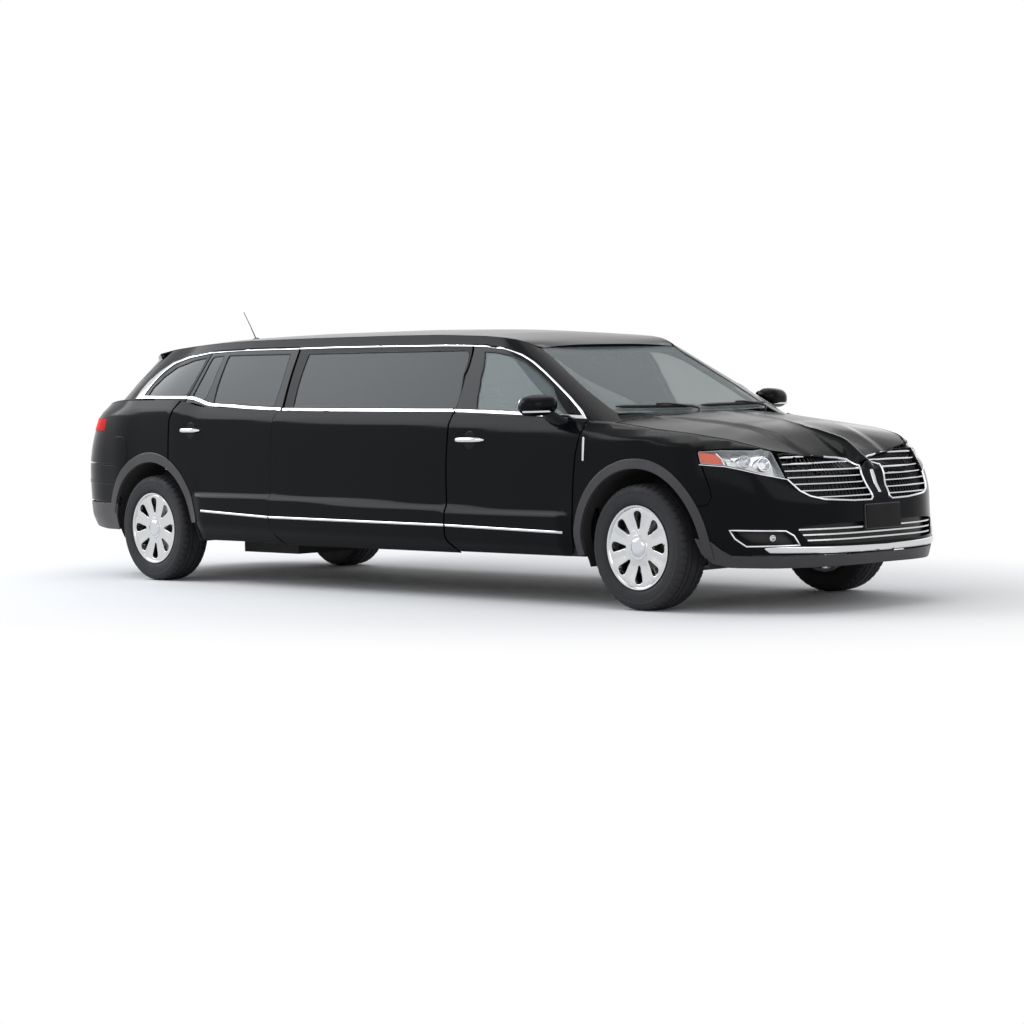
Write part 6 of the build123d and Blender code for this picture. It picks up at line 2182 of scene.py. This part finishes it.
# inner mirror
add("inner_mirror_case", slab_data(axes((-1.166, 0, 1.475), (0, 1, 0), (-1, 0, -.05)),
                                   (.238, .068, .018), .028, .006), BLACK,
    ("inner_mirror",))
add("inner_mirror_face", slab_data(axes((-1.1845, 0, 1.475), (0, 1, 0), (-1, 0, -.05)),
                                   (.224, .056, .002), .024, .0006), MIRROR)
add("inner_mirror_stem", tube_data([(-1.166, 0, 1.485), (-1.150, 0, 1.515), (-1.135, 0, 1.532)],
                                   [.008, .007, .012], 12), BLACK)

# ------------------------------------------------------------------ carried-over nodes
KEPT = {
    "floor_pan": UNDER, "exhaust": PIPE, "fuel_tank": UNDER, "engine_block": STEEL,
    "rear_axle": STEEL, "front_subframe": STEEL, "knuckle_right": STEEL, "knuckle_left": STEEL,
    "steering_column": BLACK,
}
for name, obj in frame["nodes"].items():
    if not obj.hide_render:
        obj.data.materials.clear()
        obj.data.materials.append(KEPT.get(name, PAINT))


# ------------------------------------------------------------------ studio
def either(tree, *outputs):
    """1 where any of the light path's flags is set."""
    total = outputs[0]
    for out in outputs[1:]:
        m = tree.nodes.new("ShaderNodeMath")
        m.operation = "MAXIMUM"
        tree.links.new(total, m.inputs[0])
        tree.links.new(out, m.inputs[1])
        total = m.outputs[0]
    return total


def seen(tree):
    """1 for rays from the camera, off a mirror or through glass."""
    path = tree.nodes.new("ShaderNodeLightPath")
    return either(tree, path.outputs["Is Camera Ray"], path.outputs["Is Glossy Ray"],
                  path.outputs["Is Transmission Ray"])


def blend(tree, factor, first, second, surface):
    """Mix two shaders into the surface socket."""
    pick = tree.nodes.new("ShaderNodeMixShader")
    for socket, value in zip(pick.inputs, (factor, first, second)):
        tree.links.new(value, socket)
    tree.links.new(pick.outputs[0], surface)


world = bpy.data.worlds.new("studio")
bpy.context.scene.world = world
world.use_nodes = True
tree = world.node_tree
soft = tree.nodes["Background"]
soft.inputs["Color"].default_value = (.92, .94, .97, 1)
soft.inputs["Strength"].default_value = .48
white = node(tree, "ShaderNodeBackground", Color=(1, 1, 1, 1), Strength=1.0)
blend(tree, seen(tree), soft.outputs[0], white.outputs[0],
      tree.nodes["World Output"].inputs["Surface"])

# pale floor: it takes the shadow near the car and fades to white further out
floor_mat, tree, bsdf = new_material("studio_floor", (.86, .86, .87), .7, Specular_IOR_Level=.1)
glow = node(tree, "ShaderNodeEmission", Strength=1.0)
flag = seen(tree)
geo = tree.nodes.new("ShaderNodeNewGeometry")
scaled = node(tree, "ShaderNodeVectorMath", operation="MULTIPLY")
scaled.inputs[1].default_value = (1 / 6.2, 1 / 4.0, 1)
tree.links.new(geo.outputs["Position"], scaled.inputs[0])
far = node(tree, "ShaderNodeVectorMath", operation="LENGTH")
tree.links.new(scaled.outputs[0], far.inputs[0])
fade = tree.nodes.new("ShaderNodeMapRange")
fade.interpolation_type = "SMOOTHSTEP"
fade.inputs["From Min"].default_value, fade.inputs["From Max"].default_value = .55, 1.0
tree.links.new(far.outputs["Value"], fade.inputs["Value"])
share = node(tree, "ShaderNodeMath", operation="MULTIPLY")
tree.links.new(flag, share.inputs[0])
tree.links.new(fade.outputs["Result"], share.inputs[1])
blend(tree, share.outputs[0], bsdf.outputs[0], glow.outputs[0],
      tree.nodes["Material Output"].inputs["Surface"])
mesh = bpy.data.meshes.new("floor")
mesh.from_pydata([(-90, -90, 0), (90, -90, 0), (90, 90, 0), (-90, 90, 0)], [], [(0, 1, 2, 3)])
mesh.materials.append(floor_mat)
floor = bpy.data.objects.new("floor", mesh)
bpy.context.scene.collection.objects.link(floor)


def area_light(name, place, target, size, energy, color=(1, 1, 1)):
    """Rectangular lamp at a place, facing its target."""
    data = bpy.data.lights.new(name, "AREA")
    data.shape = "RECTANGLE"
    data.size, data.size_y = size
    data.energy = energy
    data.color = color
    obj = bpy.data.objects.new(name, data)
    obj.location = place
    obj.rotation_euler = (Vector(target) - Vector(place)).to_track_quat("-Z", "Y").to_euler()
    bpy.context.scene.collection.objects.link(obj)


area_light("overhead", (1, 1, 7.0), (0, 0, 0), (10, 5), 160)
area_light("shoulder_soft", (-9.6, -5.4, 7.6), (.3, -.8, 1.1), (10, 9), 1280, (.93, .97, 1))
area_light("front_soft", (12, -2, 4.5), (2, 0, .6), (8, 5), 240)
area_light("side_soft", (5, -11, 4.0), (0, 0, .6), (12, 3), 130)
area_light("left_soft", (0, 12, 5.0), (0, 0, .6), (14, 5), 160)

# ------------------------------------------------------------------ camera
AZ, EL, ROLL = radians(47.0), radians(2.784), radians(-1.301)
FOCAL_MM, CAMERA_AT = 99.63, (13.9865, -12.704, 1.397)
camera_data = bpy.data.cameras.new("camera")
camera_data.sensor_width = 36.0
camera_data.lens = FOCAL_MM
camera_data.clip_end = 300
camera = bpy.data.objects.new("camera", camera_data)
back_dir = Vector((sin(AZ) * cos(EL), -cos(AZ) * cos(EL), sin(EL)))
x_dir = Vector((0, 0, 1)).cross(back_dir).normalized()
y_dir = back_dir.cross(x_dir)
x2 = x_dir * cos(ROLL) + y_dir * sin(ROLL)
y2 = y_dir * cos(ROLL) - x_dir * sin(ROLL)
turn = Matrix((x2, y2, back_dir)).transposed().to_4x4()
camera.matrix_world = Matrix.Translation(CAMERA_AT) @ turn
bpy.context.scene.collection.objects.link(camera)
bpy.context.scene.camera = camera
bpy.context.scene.view_settings.view_transform = "Standard"
